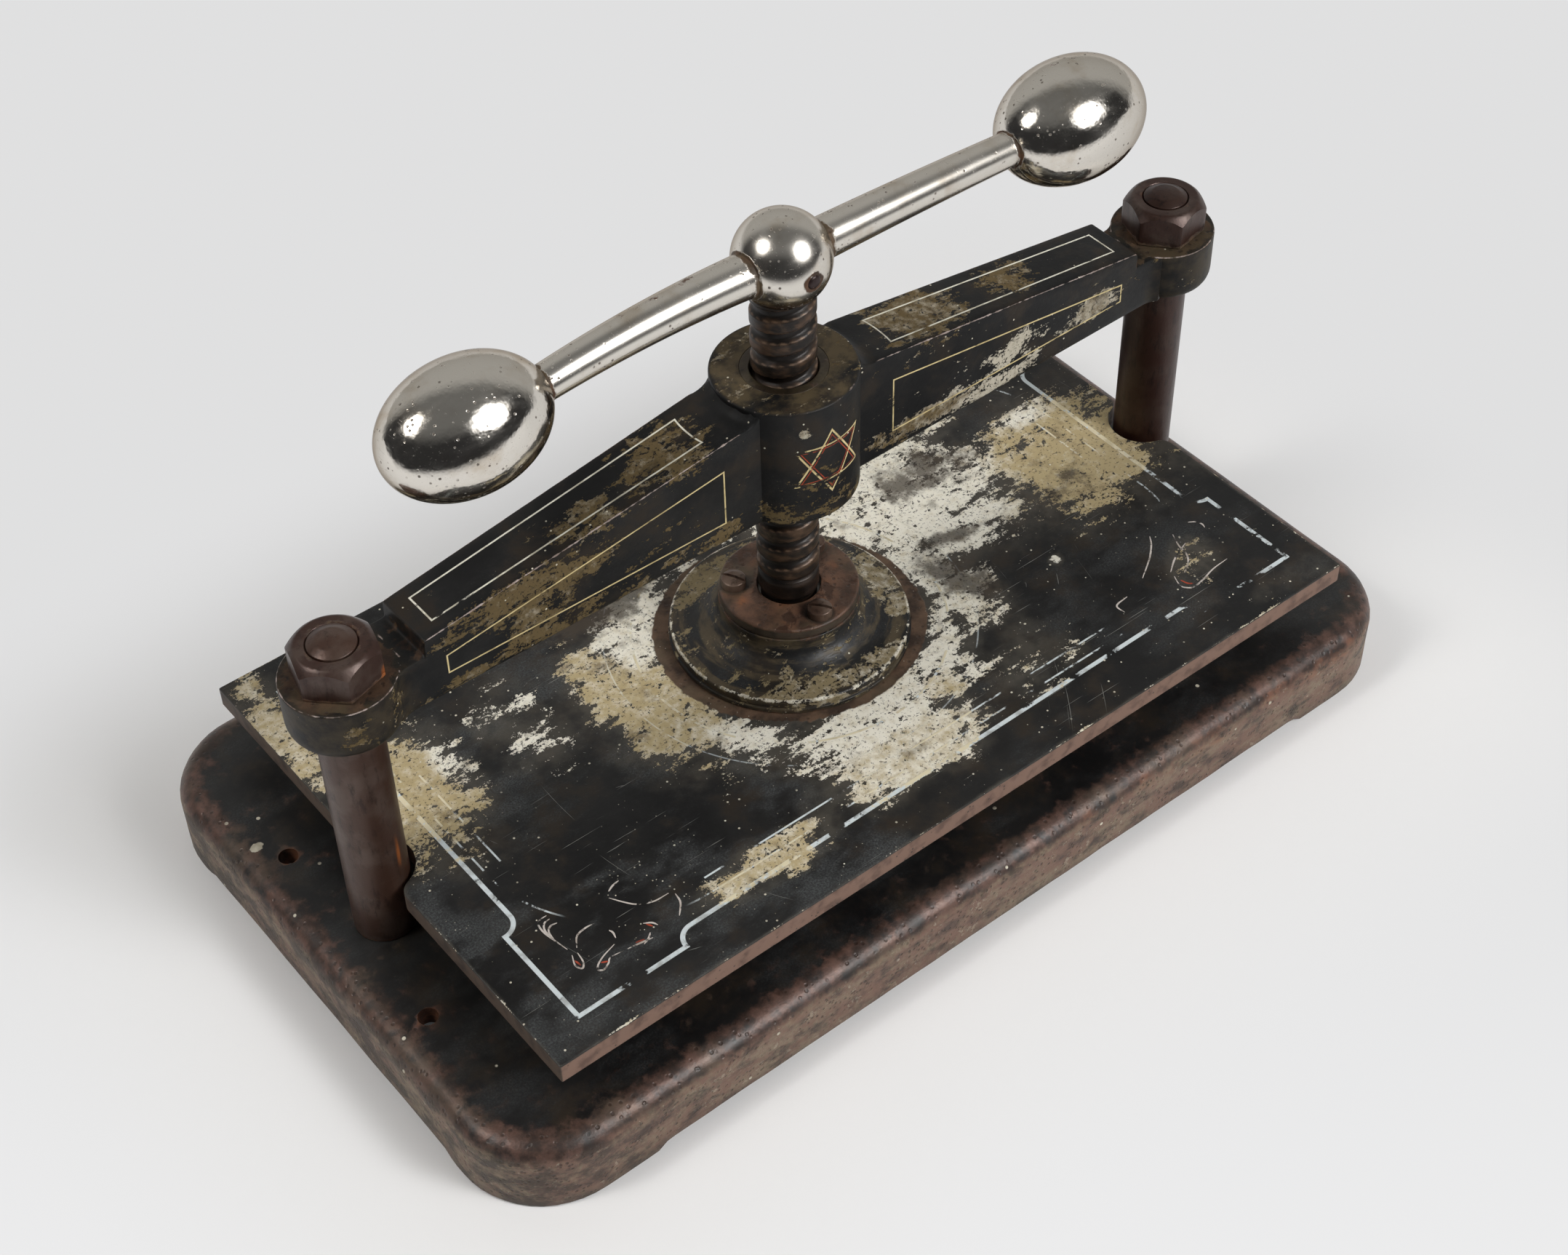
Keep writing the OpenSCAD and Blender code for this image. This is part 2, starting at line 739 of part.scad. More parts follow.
module weight(side) {
  steps = 3 * arc_steps;
  seat_x = weight_seat(side);
  inner_x = weight_reach(side) - weight_l;
  hole_end = seat_x + weight_hole_l + fit;
  color(nickel)
    on_arm(side)
      difference() {
        turned_along_x([for (i = [0 : steps]) let (a = 180 * i / steps)
          [weight_reach(side) - weight_a * cos(a), weight_b * sin(a)]]);
        turned_along_x([
          [inner_x, 0], [inner_x, handle_tip_d / 2 + fit], [seat_x, handle_tip_d / 2 + fit],
          [seat_x, tenon_d / 2 + fit], [hole_end, tenon_d / 2 + fit], [hole_end, 0]
        ]);
      }
}

base();
column(-1);  // column_left
column(1);  // column_right
column_nut(-1);  // column_nut_left
column_nut(1);  // column_nut_right
base_nut(-1);  // base_nut_left
base_nut(1);  // base_nut_right
crossbeam();
screw_bush();
platen();
platen_boss();
for (i = [1 : boss_count])
  boss_screw(i);
thrust_pad();
retaining_disc();
for (i = [1 : keeper_count])
  retaining_screw(i);
spindle();
thrust_collar();
handle_ball();
ball_pin();
handle_arm(-1);  // arm_left
handle_arm(1);  // arm_right
weight(-1);  // weight_left
weight(1);  // weight_right
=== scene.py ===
"""Copying press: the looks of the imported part.

Each class below is one sub-assembly. Its fields are sizes in millimetres, in the part's own frame:
+Z up along the screw, +X along the crossbeam, +Y to the back, origin on the floor under the base.
Meshes are worked out with numpy, and materials are layers that shader expressions lay over each other.
"""

from __future__ import annotations

import logging
from dataclasses import dataclass
from enum import Enum
from math import asin, atan, cos, pi, radians, sin, sqrt
from typing import Any, Callable, Protocol, Sequence, Union

import bmesh
import bpy
import numpy as np
from mathutils import Matrix, Vector

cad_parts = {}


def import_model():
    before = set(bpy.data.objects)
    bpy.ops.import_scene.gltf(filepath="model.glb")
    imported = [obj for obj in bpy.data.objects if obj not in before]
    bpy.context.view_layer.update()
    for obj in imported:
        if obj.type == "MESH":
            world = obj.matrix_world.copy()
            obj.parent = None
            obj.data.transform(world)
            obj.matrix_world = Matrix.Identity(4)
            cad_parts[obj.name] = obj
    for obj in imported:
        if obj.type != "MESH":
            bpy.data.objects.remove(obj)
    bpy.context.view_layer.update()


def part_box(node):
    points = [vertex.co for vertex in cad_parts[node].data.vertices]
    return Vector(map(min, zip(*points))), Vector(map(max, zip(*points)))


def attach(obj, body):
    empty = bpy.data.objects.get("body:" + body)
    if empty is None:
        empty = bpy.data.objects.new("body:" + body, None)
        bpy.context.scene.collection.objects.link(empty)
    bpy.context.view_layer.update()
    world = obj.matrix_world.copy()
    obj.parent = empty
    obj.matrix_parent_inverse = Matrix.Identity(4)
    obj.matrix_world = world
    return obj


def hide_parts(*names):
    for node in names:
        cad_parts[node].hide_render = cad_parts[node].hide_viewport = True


MM = 0.001
MERGE = 2e-6
CREASE = 38.0
BEVEL_FROM = 40.0

log = logging.getLogger("copying_press")

Array = np.ndarray
Piece = bpy.types.Object
Material = bpy.types.Material
Pair = tuple[float, float]
Triple = tuple[float, float, float]
Colour = Triple
Stroke = tuple[Pair, ...]
Value = Union["Sock", float]
Tint = Union["Sock", Colour]


class Body(Enum):
    """The moving bodies that pieces ride on."""

    FRAME = "frame"
    PLATEN = "platen"
    SCREW = "screw"


class Slot(Enum):
    """The record's material slots, named for the pieces made here."""

    IRON = "black_iron"
    BROWN = "rust_brown_steel"
    OILY = "oily_steel"
    NICKEL = "nickel"


class Cut(Enum):
    """How one solid is combined with another."""

    JOIN = "UNION"
    REMOVE = "DIFFERENCE"


class Axis(Enum):
    """The axes that a skin is turned about, by their column."""

    X = 0
    Y = 1
    Z = 2


class Side(Enum):
    """The two ends of the press, by the sign of their x."""

    LEFT = -1
    RIGHT = 1

    @property
    def label(self) -> str:
        """Word that ends a node's name."""
        return self.name.lower()

    def pick(self, pair: Pair) -> float:
        """The left or the right value of a pair."""
        return pair[0] if self is Side.LEFT else pair[1]


class Wear(Enum):
    """Vertex fields that the finishes read."""

    LOSS = "loss"
    PALE = "pale"
    RUST = "rust"
    ORANGE = "orange"
    EDGE = "edge"


def smoothstep(low: float, high: float, value: Array) -> Array:
    """Soft step: 0 below low, 1 above high, 3t^2 - 2t^3 between them."""
    t = np.clip((value - low) / (high - low), 0.0, 1.0)
    return t * t * (3.0 - 2.0 * t)


def ripple(points: Array, length: float, seed: float) -> Array:
    """Slow unevenness of a casting, from -1 to 1: a mean of sine waves that run in different directions.

    Args:
        points: (n, 3) places in millimetres.
        length: the longest wave in millimetres.
        seed: shift of the waves.

    Returns:
        One number for each point.
    """
    turns = np.arange(1, 6)[:, None]
    heading = np.stack([np.cos(turns * 2.4), np.sin(turns * 2.4), np.cos(turns * 1.1)], axis=-1)[:, 0, :]
    rate = 2.0 * pi / length * (1.0 + 0.37 * turns)
    return np.sin(rate * (heading @ points.T) + seed * turns).mean(axis=0)


@dataclass
class Surface:
    """Vertices in millimetres and the quads between them.

    Attributes:
        points: (n, 3) places.
        faces: (m, 4) vertex numbers. A quad with two equal places becomes a triangle when doubles merge.
    """

    points: Array
    faces: Array

    @staticmethod
    def grid(points: Array, wrap: bool = True) -> Surface:
        """Quads between neighbours of a grid of points.

        Args:
            points: (rows, columns, 3) places.
            wrap: whether the last column joins the first.

        Returns:
            The skin through the grid.
        """
        rows, columns = points.shape[:2]
        index = np.arange(rows * columns).reshape(rows, columns)
        used = columns if wrap else columns - 1
        after = np.roll(index, -1, axis=1)[:, :used]
        index = index[:, :used]
        quads = np.stack([index[:-1], after[:-1], after[1:], index[1:]], axis=-1)
        return Surface(points.reshape(-1, 3), quads.reshape(-1, 4))

    @staticmethod
    def joined(*skins: Surface) -> Surface:
        """Several skins as one mesh, their vertices numbered on from one to the next.

        Args:
            skins: the skins, in order.

        Returns:
            All of them.
        """
        first = np.cumsum([0] + [len(skin.points) for skin in skins])
        faces = np.concatenate([skin.faces + start for skin, start in zip(skins, first)])
        return Surface(np.concatenate([skin.points for skin in skins]), faces)

    def moved(self, x: float = 0.0, y: float = 0.0, z: float = 0.0) -> Surface:
        """A copy shifted by x, y and z."""
        return Surface(self.points + np.array([x, y, z]), self.faces)

    def turned(self, degrees: float, axis: Axis) -> Surface:
        """A copy turned about an axis through the origin.

        Args:
            degrees: the angle, from the next axis in the cycle XYZ towards the one after it.
            axis: which axis.

        Returns:
            The copy.
        """
        c, s = cos(radians(degrees)), sin(radians(degrees))
        one, two = (axis.value + 1) % 3, (axis.value + 2) % 3
        points = self.points.copy()
        points[:, one] = c * self.points[:, one] - s * self.points[:, two]
        points[:, two] = s * self.points[:, one] + c * self.points[:, two]
        return Surface(points, self.faces)

    def mirrored(self, side: Side) -> Surface:
        """The skin as drawn for the right, or its mirror image for the left."""
        return Surface(self.points * np.array([side.value, 1.0, 1.0]), self.faces)


def rounded(corners: Sequence[Triple], steps: int = 5) -> Array:
    """Outline through corners, each rounded by a quadratic curve.

    The curve at a corner P runs from P - t a to P + t b, where a and b are the directions in and out, and
    t = radius * tan(half the turn), so that it leaves both sides along them.

    Args:
        corners: (u, v, radius) of each corner, in order.
        steps: points on each curve.

    Returns:
        (n, 2) points of the outline.
    """
    table = np.array(corners, float)
    spots, radius = table[:, :2], table[:, 2]
    way = np.diff(spots, axis=0)
    way /= np.maximum(np.linalg.norm(way, axis=1, keepdims=True), 1e-9)
    into = np.concatenate([way[:1], way])
    out = np.concatenate([way, way[-1:]])
    cosine = np.clip((into * out).sum(axis=1), -0.9999, 1.0)
    reach = (radius * np.sqrt((1.0 - cosine) / (1.0 + cosine)))[:, None, None]
    s = np.linspace(0.0, 1.0, steps)[None, :, None]
    start = spots[:, None, :] - reach * into[:, None, :]
    end = spots[:, None, :] + reach * out[:, None, :]
    curve = (1 - s) ** 2 * start + 2 * s * (1 - s) * spots[:, None, :] + s**2 * end
    points = curve.reshape(-1, 2)
    fresh = np.concatenate([[True], np.linalg.norm(np.diff(points, axis=0), axis=1) > 1e-6])
    return points[fresh]


def evenly(outline: Array, gap: float) -> Array:
    """Outline with extra points, so that no two neighbours are further apart than a gap.

    Args:
        outline: (n, k) rows, whose first two columns are a place.
        gap: the largest distance in millimetres.

    Returns:
        (m, k) rows that include the given ones, the others on straight lines between them.
    """
    length = np.linalg.norm(np.diff(outline[:, :2], axis=0), axis=1)
    parts = np.maximum(np.ceil(length / gap).astype(int), 1)
    first = np.repeat(np.arange(len(length)), parts)
    share = (np.arange(len(first)) - np.repeat(np.cumsum(parts) - parts, parts)) / parts[first]
    filled = outline[first] + share[:, None] * (outline[first + 1] - outline[first])
    return np.concatenate([filled, outline[-1:]])


def circle(sides: int) -> Array:
    """Angles shared out evenly over one turn."""
    return np.linspace(0.0, 2.0 * pi, sides, endpoint=False)


def rings(radius: Array, height: Array, angle: Array) -> Array:
    """Grid round the Z axis: (r cos a, r sin a, h), in rows of one angle after another."""
    return np.stack([radius * np.cos(angle), radius * np.sin(angle), height + 0.0 * angle], axis=-1)


def lathe(profile: Array, sides: int = 96) -> Surface:
    """Turned skin: each (radius, height) of a profile is carried round the Z axis.

    Args:
        profile: (n, 2) radii and heights.
        sides: points in each ring.

    Returns:
        The skin, whose poles close when doubles merge.
    """
    return Surface.grid(rings(profile[:, :1], profile[:, 1:], circle(sides)))


def spun(corners: Sequence[Triple], gap: float, sides: int = 96, steps: int = 5) -> Surface:
    """Turned skin whose profile runs through rounded corners, in rows no further apart than a gap."""
    return lathe(evenly(rounded(corners, steps), gap), sides)


def plug(radius: float, low: float, high: float, sides: int) -> Surface:
    """Plain cylinder between two heights."""
    return lathe(np.array([[0.0, low], [radius, low], [radius, high], [0.0, high]]), sides)


def tube(path: Array, radius: Array, sides: int = 64) -> Surface:
    """Round bar along a path in the XZ plane, with its ends closed to a point.

    Each ring stands square to the path: centre + r (cos a * n + sin a * y), n being the path's normal.

    Args:
        path: (n, 3) centres, with y = 0.
        radius: (n,) radii.
        sides: points in each ring.

    Returns:
        The closed skin.
    """
    way = np.gradient(path, axis=0)
    way /= np.linalg.norm(way, axis=1, keepdims=True)
    normal = np.stack([-way[:, 2], 0.0 * way[:, 1], way[:, 0]], axis=-1)
    angle = circle(sides)[None, :, None]
    across = np.array([0.0, 1.0, 0.0])
    ring = np.cos(angle) * normal[:, None, :] + np.sin(angle) * across
    return Surface.grid(capped(path[:, None, :] + radius[:, None, None] * ring))


def capped(points: Array) -> Array:
    """Grid with a row added at each end that gathers in the middle of the last ring."""
    first, last = (np.broadcast_to(row.mean(axis=0), points[:1].shape) for row in (points[0], points[-1]))
    return np.concatenate([first, points, last])


def link(name: str, data: bpy.types.ID) -> Piece:
    """New object of a mesh, lamp or camera, in the scene at the origin.

    Args:
        name: the object's name.
        data: what it shows.

    Returns:
        The object.
    """
    made = bpy.data.objects.new(name, data)
    bpy.context.scene.collection.objects.link(made)
    return made


def make_object(name: str, surface: Surface, crease: float = CREASE) -> Piece:
    """Mesh object of a skin, merged, facing outwards and smooth but for its creases.

    Args:
        name: the piece's name.
        surface: the skin in millimetres.
        crease: angle in degrees past which an edge stays sharp.

    Returns:
        The object, at the origin, linked to the scene.
    """
    mesh = bpy.data.meshes.new(name)
    mesh.from_pydata((surface.points * MM).tolist(), [], surface.faces.tolist())
    shell = bmesh.new()
    shell.from_mesh(mesh)
    bmesh.ops.remove_doubles(shell, verts=shell.verts, dist=MERGE)
    bmesh.ops.recalc_face_normals(shell, faces=shell.faces)
    shell.to_mesh(mesh)
    shell.free()
    soften(mesh, crease)
    return link(name, mesh)


def soften(mesh: bpy.types.Mesh, crease: float) -> None:
    """Shade a mesh smooth, with edges past the crease angle kept sharp."""
    mesh.shade_smooth()
    mesh.set_sharp_from_angle(angle=radians(crease))


def settle(piece: Piece) -> None:
    """Put the result of a piece's modifiers in its mesh.

    Args:
        piece: the piece, which changes.
    """
    bpy.context.view_layer.update()
    graph = bpy.context.evaluated_depsgraph_get()
    mesh = bpy.data.meshes.new_from_object(piece.evaluated_get(graph))
    piece.modifiers.clear()
    piece.data = mesh


def combine(piece: Piece, tool: Surface, how: Cut) -> None:
    """Join a solid to a piece, or cut the piece with it.

    Args:
        piece: the piece that changes.
        tool: closed skin in millimetres.
        how: whether the solid is joined or removed.
    """
    helper = make_object("tool", tool)
    step = piece.modifiers.new("combine", "BOOLEAN")
    step.object = helper
    step.operation = how.value
    step.solver = "MANIFOLD"
    settle(piece)
    bpy.data.objects.remove(helper)


def even_normals(piece: Piece, crease: float = CREASE) -> None:
    """Keep flat faces flat beside their rounded edges, by normals weighted with face area.

    Args:
        piece: the piece, which changes.
        crease: angle in degrees past which an edge stays sharp.
    """
    soften(piece.data, crease)
    step = piece.modifiers.new("normals", "WEIGHTED_NORMAL")
    step.keep_sharp = True
    settle(piece)


def bevelled(piece: Piece, width: float) -> None:
    """Round a piece's sharp edges, which are those that turn by more than an angle.

    Args:
        piece: the piece, which changes.
        width: width of the rounding in millimetres.
    """
    step = piece.modifiers.new("edges", "BEVEL")
    step.width = width * MM
    step.segments = 2
    step.limit_method = "ANGLE"
    step.angle_limit = radians(BEVEL_FROM)
    settle(piece)


def points_of(piece: Piece) -> Array:
    """A piece's vertices in millimetres.

    Args:
        piece: the piece.

    Returns:
        (n, 3) places.
    """
    flat = np.empty(len(piece.data.vertices) * 3, np.float32)
    piece.data.vertices.foreach_get("co", flat)
    return flat.reshape(-1, 3).astype(float) / MM


def paint(piece: Piece, fields: dict[Wear, Array]) -> None:
    """Store the numbers of each field for a piece's vertices. A field that isn't stored reads as 0.

    Args:
        piece: the piece, which changes.
        fields: one number for each vertex, by field.
    """
    for field, values in fields.items():
        layer = piece.data.attributes.new(field.value, "FLOAT", "POINT")
        layer.data.foreach_set("value", np.asarray(values, np.float32))


@dataclass(frozen=True)
class Patch:
    """A worn place: an ellipsoid in which the coat has come off.

    Attributes:
        centre: middle in millimetres.
        radii: reach along its own axes.
        loss: wear at the middle.
        pale: 0 for tan ground coat, 1 for chalky white.
        brink: wear on the ellipsoid, below 0 where only crumbs have come off.
        turn: angle in degrees about Z.
    """

    centre: Triple
    radii: Triple
    loss: float = 1.0
    pale: float = 0.3
    brink: float = 0.0
    turn: float = 0.0

    def depth(self, points: Array) -> Array:
        """1 at the middle, 0 on the ellipsoid and negative outside: 1 minus the scaled distance.

        Args:
            points: (n, 3) places in millimetres.

        Returns:
            One number for each point.
        """
        c, s = cos(radians(self.turn)), sin(radians(self.turn))
        x, y, z = (points - np.array(self.centre)).T
        own = np.stack([x * c + y * s, y * c - x * s, z], axis=-1)
        return 1.0 - np.linalg.norm(own / np.array(self.radii), axis=1)


def patch_fields(points: Array, patches: Sequence[Patch]) -> tuple[Array, Array]:
    """Wear of all patches at each point.

    Each patch's loss runs evenly from its brink to its middle, and falls with the depth outside. The
    greatest counts. The paleness is a mean that the nearest patch leads: weights exp(5 depth).

    Args:
        points: (n, 3) places in millimetres.
        patches: the worn places.

    Returns:
        Loss, from -1 to 1, and paleness, from 0 to 1.
    """
    depth = np.stack([np.clip(p.depth(points), -1.0, 1.0) for p in patches])
    brink = np.array([p.brink for p in patches])[:, None]
    rise = np.array([p.loss for p in patches])[:, None] - brink
    loss = (brink + np.where(depth > 0.0, depth * rise, depth)).max(axis=0)
    weight = np.exp(5.0 * depth)
    pale = (weight * np.array([p.pale for p in patches])[:, None]).sum(axis=0) / weight.sum(axis=0)
    return loss, pale


def operator(operation: str, swapped: bool = False) -> Callable[[Sock, Value], Sock]:
    """Method that adds one Math node over a socket and another value.

    Args:
        operation: the node's operation.
        swapped: whether the other value comes first.

    Returns:
        The method.
    """

    def apply(self: Sock, other: Value) -> Sock:
        """The operation on self and other."""
        return self.math(operation, *((other, self) if swapped else (self, other)))

    return apply


class Sock:
    """A shader socket that Python's operators work on: each adds its Math node."""

    __add__, __radd__ = operator("ADD"), operator("ADD", True)
    __sub__, __rsub__ = operator("SUBTRACT"), operator("SUBTRACT", True)
    __mul__, __rmul__ = operator("MULTIPLY"), operator("MULTIPLY", True)
    __truediv__, __pow__ = operator("DIVIDE"), operator("POWER")
    most, least, angle = operator("MAXIMUM"), operator("MINIMUM"), operator("ARCTAN2")

    def __init__(self, desk: Desk, socket: bpy.types.NodeSocket) -> None:
        """Wrap an output socket of a desk's node tree."""
        self.desk = desk
        self.socket = socket

    def math(self, operation: str, *values: Value) -> Sock:
        """One Math node over the given values."""
        return self.desk.node("Math", dict(enumerate(values)), operation=operation)

    def __abs__(self) -> Sock:
        """Distance of self from 0."""
        return self.math("ABSOLUTE", self)

    def hypot(self, other: Value) -> Sock:
        """Length of the vector (self, other)."""
        return self.math("SQRT", self * self + other * other)

    def step(self, low: float, high: float) -> Sock:
        """Soft step from 0 at low to 1 at high; it falls where low is the greater.

        Args:
            low: where it is 0.
            high: where it is 1.

        Returns:
            A number from 0 to 1.
        """
        ends = {"From Min": low, "From Max": high} if low < high else {"From Min": high, "From Max": low}
        rise = self.desk.node("MapRange", {"Value": self, **ends}, interpolation_type="SMOOTHSTEP")
        return rise if low < high else 1.0 - rise

    def stroke(self, width: float, edge: float = 0.12) -> Sock:
        """1 within half a width of the line where self is 0."""
        return abs(self).step(width / 2 + edge, width / 2 - edge)


class Desk:
    """One material's node tree."""

    def __init__(self, name: str) -> None:
        """Start an empty material.

        Args:
            name: the material's name.
        """
        self.material = bpy.data.materials.new(name)
        self.material.use_nodes = True
        self._start(self.material.node_tree)

    @classmethod
    def over(cls, tree: bpy.types.NodeTree) -> Desk:
        """A desk over the emptied node tree of a world or a lamp.

        Args:
            tree: the tree, which is emptied.

        Returns:
            The desk, which has no material.
        """
        desk = cls.__new__(cls)
        desk._start(tree)
        return desk

    def _start(self, tree: bpy.types.NodeTree) -> None:
        """Clear a tree and take it over.

        Args:
            tree: the tree.
        """
        self.tree = tree
        self.tree.nodes.clear()
        self._place: Sock | None = None

    def node(
        self, kind: str, sockets: dict[str | int, Any], output: str | int | None = 0, **settings: Any
    ) -> Sock | None:
        """Add a node.

        Args:
            kind: the node's type, without the words that all types share.
            sockets: a value or a link for each input socket, by name or number.
            output: the output socket that is returned, or None for a node that has none.
            settings: the node's properties, set before its sockets.

        Returns:
            That socket, ready for expressions.
        """
        made = self.tree.nodes.new("ShaderNode" + kind)
        for key, value in settings.items():
            setattr(made, key, value)
        for key, value in sockets.items():
            socket = made.inputs[key]
            if isinstance(value, Sock):
                self.tree.links.new(value.socket, socket)
            elif socket.type == "RGBA":
                socket.default_value = (*value, 1.0)
            else:
                socket.default_value = value
        return None if output is None else Sock(self, made.outputs[output])

    @property
    def place(self) -> Sock:
        """Object coordinates in millimetres."""
        if self._place is None:
            metres = self.node("TexCoord", {}, "Object")
            self._place = self.vector("MULTIPLY", metres, (1.0 / MM,) * 3)
        return self._place

    def vector(self, operation: str, first: Sock, second: Triple) -> Sock:
        """One Vector Math node over a vector and a constant."""
        return self.node("VectorMath", {0: first, 1: second}, operation=operation)

    def axes(self, vector: Sock | None = None) -> tuple[Sock, ...]:
        """The x, y and z of a vector, or of the place if none is given."""
        made = self.node("SeparateXYZ", {0: vector or self.place}).socket.node
        return tuple(Sock(self, output) for output in made.outputs)

    def noise(
        self, size: float, detail: float = 4.0, rough: float = 0.55, stretch: Triple | None = None,
        shift: Triple | None = None, vector: Sock | None = None,
    ) -> Sock:
        """Cloudy noise.

        Args:
            size: about how large its lumps are, in millimetres.
            detail: how many finer noises are added.
            rough: strength of each of those over the one before.
            stretch: factors on the vector along each axis, below 1 where lumps are drawn out.
            shift: constant added to the vector, for another part of the noise.
            vector: where the noise is read, or the place if none is given.

        Returns:
            A number from 0 to 1.
        """
        spot = vector or self.place
        spot = self.vector("MULTIPLY", spot, stretch) if stretch else spot
        spot = self.vector("ADD", spot, shift) if shift else spot
        values = {"Vector": spot, "Scale": 1.0 / size, "Detail": detail, "Roughness": rough}
        return self.node("TexNoise", values, "Fac")

    def cells(self, size: float) -> Sock:
        """Distance to the nearest of scattered points, which lie about a size in millimetres apart."""
        return self.node("TexVoronoi", {"Vector": self.place, "Scale": 1.0 / size}, "Distance")

    def field(self, wear: Wear) -> Sock:
        """A vertex field of the piece."""
        return self.node("Attribute", {}, "Fac", attribute_name=wear.value)

    def mix(self, first: Tint, second: Tint, share: Value) -> Sock:
        """Colour between two colours."""
        return self.node("Mix", {0: share, 6: first, 7: second}, 2, data_type="RGBA")

    def finish(self, skin: Layer, specular: float = 0.5, rim: Colour = (1.0, 1.0, 1.0)) -> Material:
        """Close the material with its shader.

        Args:
            skin: the layer that shows.
            specular: strength of the plain reflection.
            rim: tint of the reflection at a glancing angle.

        Returns:
            The material.
        """
        sockets = {"Base Color": skin.colour, "Roughness": skin.rough, "Metallic": skin.metal}
        sockets |= {"Specular IOR Level": specular, "Specular Tint": rim}
        relief = {"Strength": 1.0, "Distance": MM, "Height": skin.height}
        sockets["Normal"] = self.node("Bump", relief)
        shader = self.node("BsdfPrincipled", sockets)
        self.node("OutputMaterial", {"Surface": shader}, None)
        return self.material


@dataclass(frozen=True)
class Layer:
    """One coat of a finish, each part of it a socket or a constant.

    Attributes:
        colour: base colour.
        rough: roughness.
        metal: metallic share.
        height: relief in millimetres.
    """

    colour: Tint
    rough: Value
    metal: Value
    height: Value

    def under(self, finish: Finish, mask: Sock) -> Layer:
        """This coat with another over it: each part is a + (b - a) mask, or the number that both share.

        Args:
            finish: the finish that lays the upper coat.
            mask: 1 where the upper coat shows, 0 where this one does.

        Returns:
            The two as one coat.
        """
        top = finish.layer(mask.desk)
        colour = mask.desk.mix(self.colour, top.colour, mask)
        pairs = ((self.rough, top.rough), (self.metal, top.metal), (self.height, top.height))
        rough, metal, height = (a if a == b else a + (b - a) * mask for a, b in pairs)
        return Layer(colour, rough, metal, height)


class Finish(Protocol):
    """Anything that lays one coat on a material."""

    def layer(self, desk: Desk) -> Layer:
        """Add the coat's nodes.

        Args:
            desk: the material.

        Returns:
            The coat, ready to be covered or shown.
        """


@dataclass(frozen=True)
class Lacquer:
    """Old black japanning: clouded, with a thin blue-grey haze that is partly dust and film on the lacquer
    and partly painted sheen, fine scratches and a dull gloss.
    """

    deep: Colour = (0.004, 0.004, 0.0043)
    cloud: Colour = (0.013, 0.0128, 0.0126)
    haze: Colour = (0.052, 0.056, 0.057)
    warm: Colour = (0.023, 0.016, 0.010)
    rough: float = 0.32

    def layer(self, desk: Desk, haze: Value = 0.5) -> Layer:
        """The coat on a desk, with that much haze.

        Args:
            desk: the material.
            haze: how much of the haze is left.

        Returns:
            The coat.
        """
        clouds = desk.noise(38.0, 7.0, 0.62)
        tint = desk.mix(self.deep, self.cloud, clouds.step(0.36, 0.68))
        tint = desk.mix(tint, self.warm, desk.noise(19.0, 7.0, 0.64).step(0.47, 0.68) * 0.85)
        smear = desk.noise(24.0, 9.0, 0.68, stretch=(0.55, 1.0, 1.0))
        grain = desk.noise(0.8, 3.0, 0.7)
        veil = smear.step(0.46, 0.66) * haze
        dust = grain.step(0.58, 0.76) * (haze * 0.3)
        # The haze colour stands partly for dust and film on the lacquer and partly for painted sheen.
        tint = desk.mix(tint, self.haze, veil * (0.2 + grain.step(0.36, 0.70) * 0.95) + dust)
        bumps = desk.noise(2.4, 4.0, 0.62)
        rough = self.rough + veil * 0.25 + bumps * 0.16
        return Layer(tint, rough, 0.0, bumps * 0.07 + clouds * 0.2)


@dataclass(frozen=True)
class GroundCoat:
    """Chalky coat under the black: tan to cream, with brown stains and dark pits."""

    tan: Colour = (0.43, 0.345, 0.19)
    cream: Colour = (0.78, 0.75, 0.65)
    stain: Colour = (0.085, 0.060, 0.034)
    pit: Colour = (0.028, 0.022, 0.015)

    def layer(self, desk: Desk) -> Layer:
        """The coat on a desk, paler where the piece's field says so.

        Args:
            desk: the material.

        Returns:
            The coat.
        """
        grain = desk.noise(4.2, 5.0, 0.65)
        share = desk.field(Wear.PALE) + (grain - 0.5) * 1.5
        tint = desk.mix(self.tan, self.cream, share.step(0.15, 0.95))
        blot = desk.noise(13.0, 6.0, 0.65)
        tint = desk.mix(tint, self.stain, blot.step(0.53, 0.72) * 0.6)
        pepper = desk.noise(1.3, 4.0, 0.72).step(0.58, 0.62)
        tint = desk.mix(tint, self.pit, pepper * 0.75)
        return Layer(tint, 0.86, 0.0, grain * 0.06 - pepper * 0.03 - 0.10)


@dataclass(frozen=True)
class Rust:
    """Bare iron gone brown: mottled dark and red-brown, orange where it is fresh, and pitted."""

    dark: Colour = (0.030, 0.019, 0.014)
    brown: Colour = (0.105, 0.053, 0.030)
    khaki: Colour = (0.105, 0.080, 0.046)
    orange: Colour = (0.33, 0.105, 0.026)
    rough: float = 0.62
    metal: float = 0.0

    def layer(self, desk: Desk) -> Layer:
        """The layer on a desk.

        Args:
            desk: the material.

        Returns:
            The coat.
        """
        mottle = desk.noise(9.0, 6.0, 0.62)
        tint = desk.mix(self.dark, self.brown, mottle.step(0.34, 0.66))
        broad = desk.noise(30.0, 3.0, shift=(40.0, 7.0, 3.0))
        tint = desk.mix(tint, self.khaki, broad.step(0.48, 0.68) * 0.75)
        fresh = desk.field(Wear.ORANGE) + (mottle - 0.5) * 0.6
        tint = desk.mix(tint, self.orange, fresh.step(0.25, 0.8))
        pits = desk.cells(3.4).step(0.30, 0.12)
        tint = desk.mix(tint, self.dark, pits * 0.7)
        fine = desk.noise(0.9, 3.0)
        relief = mottle * 0.35 + fine * 0.06 - pits * 0.18
        return Layer(tint, self.rough + (fine - 0.5) * 0.25, self.metal, relief)


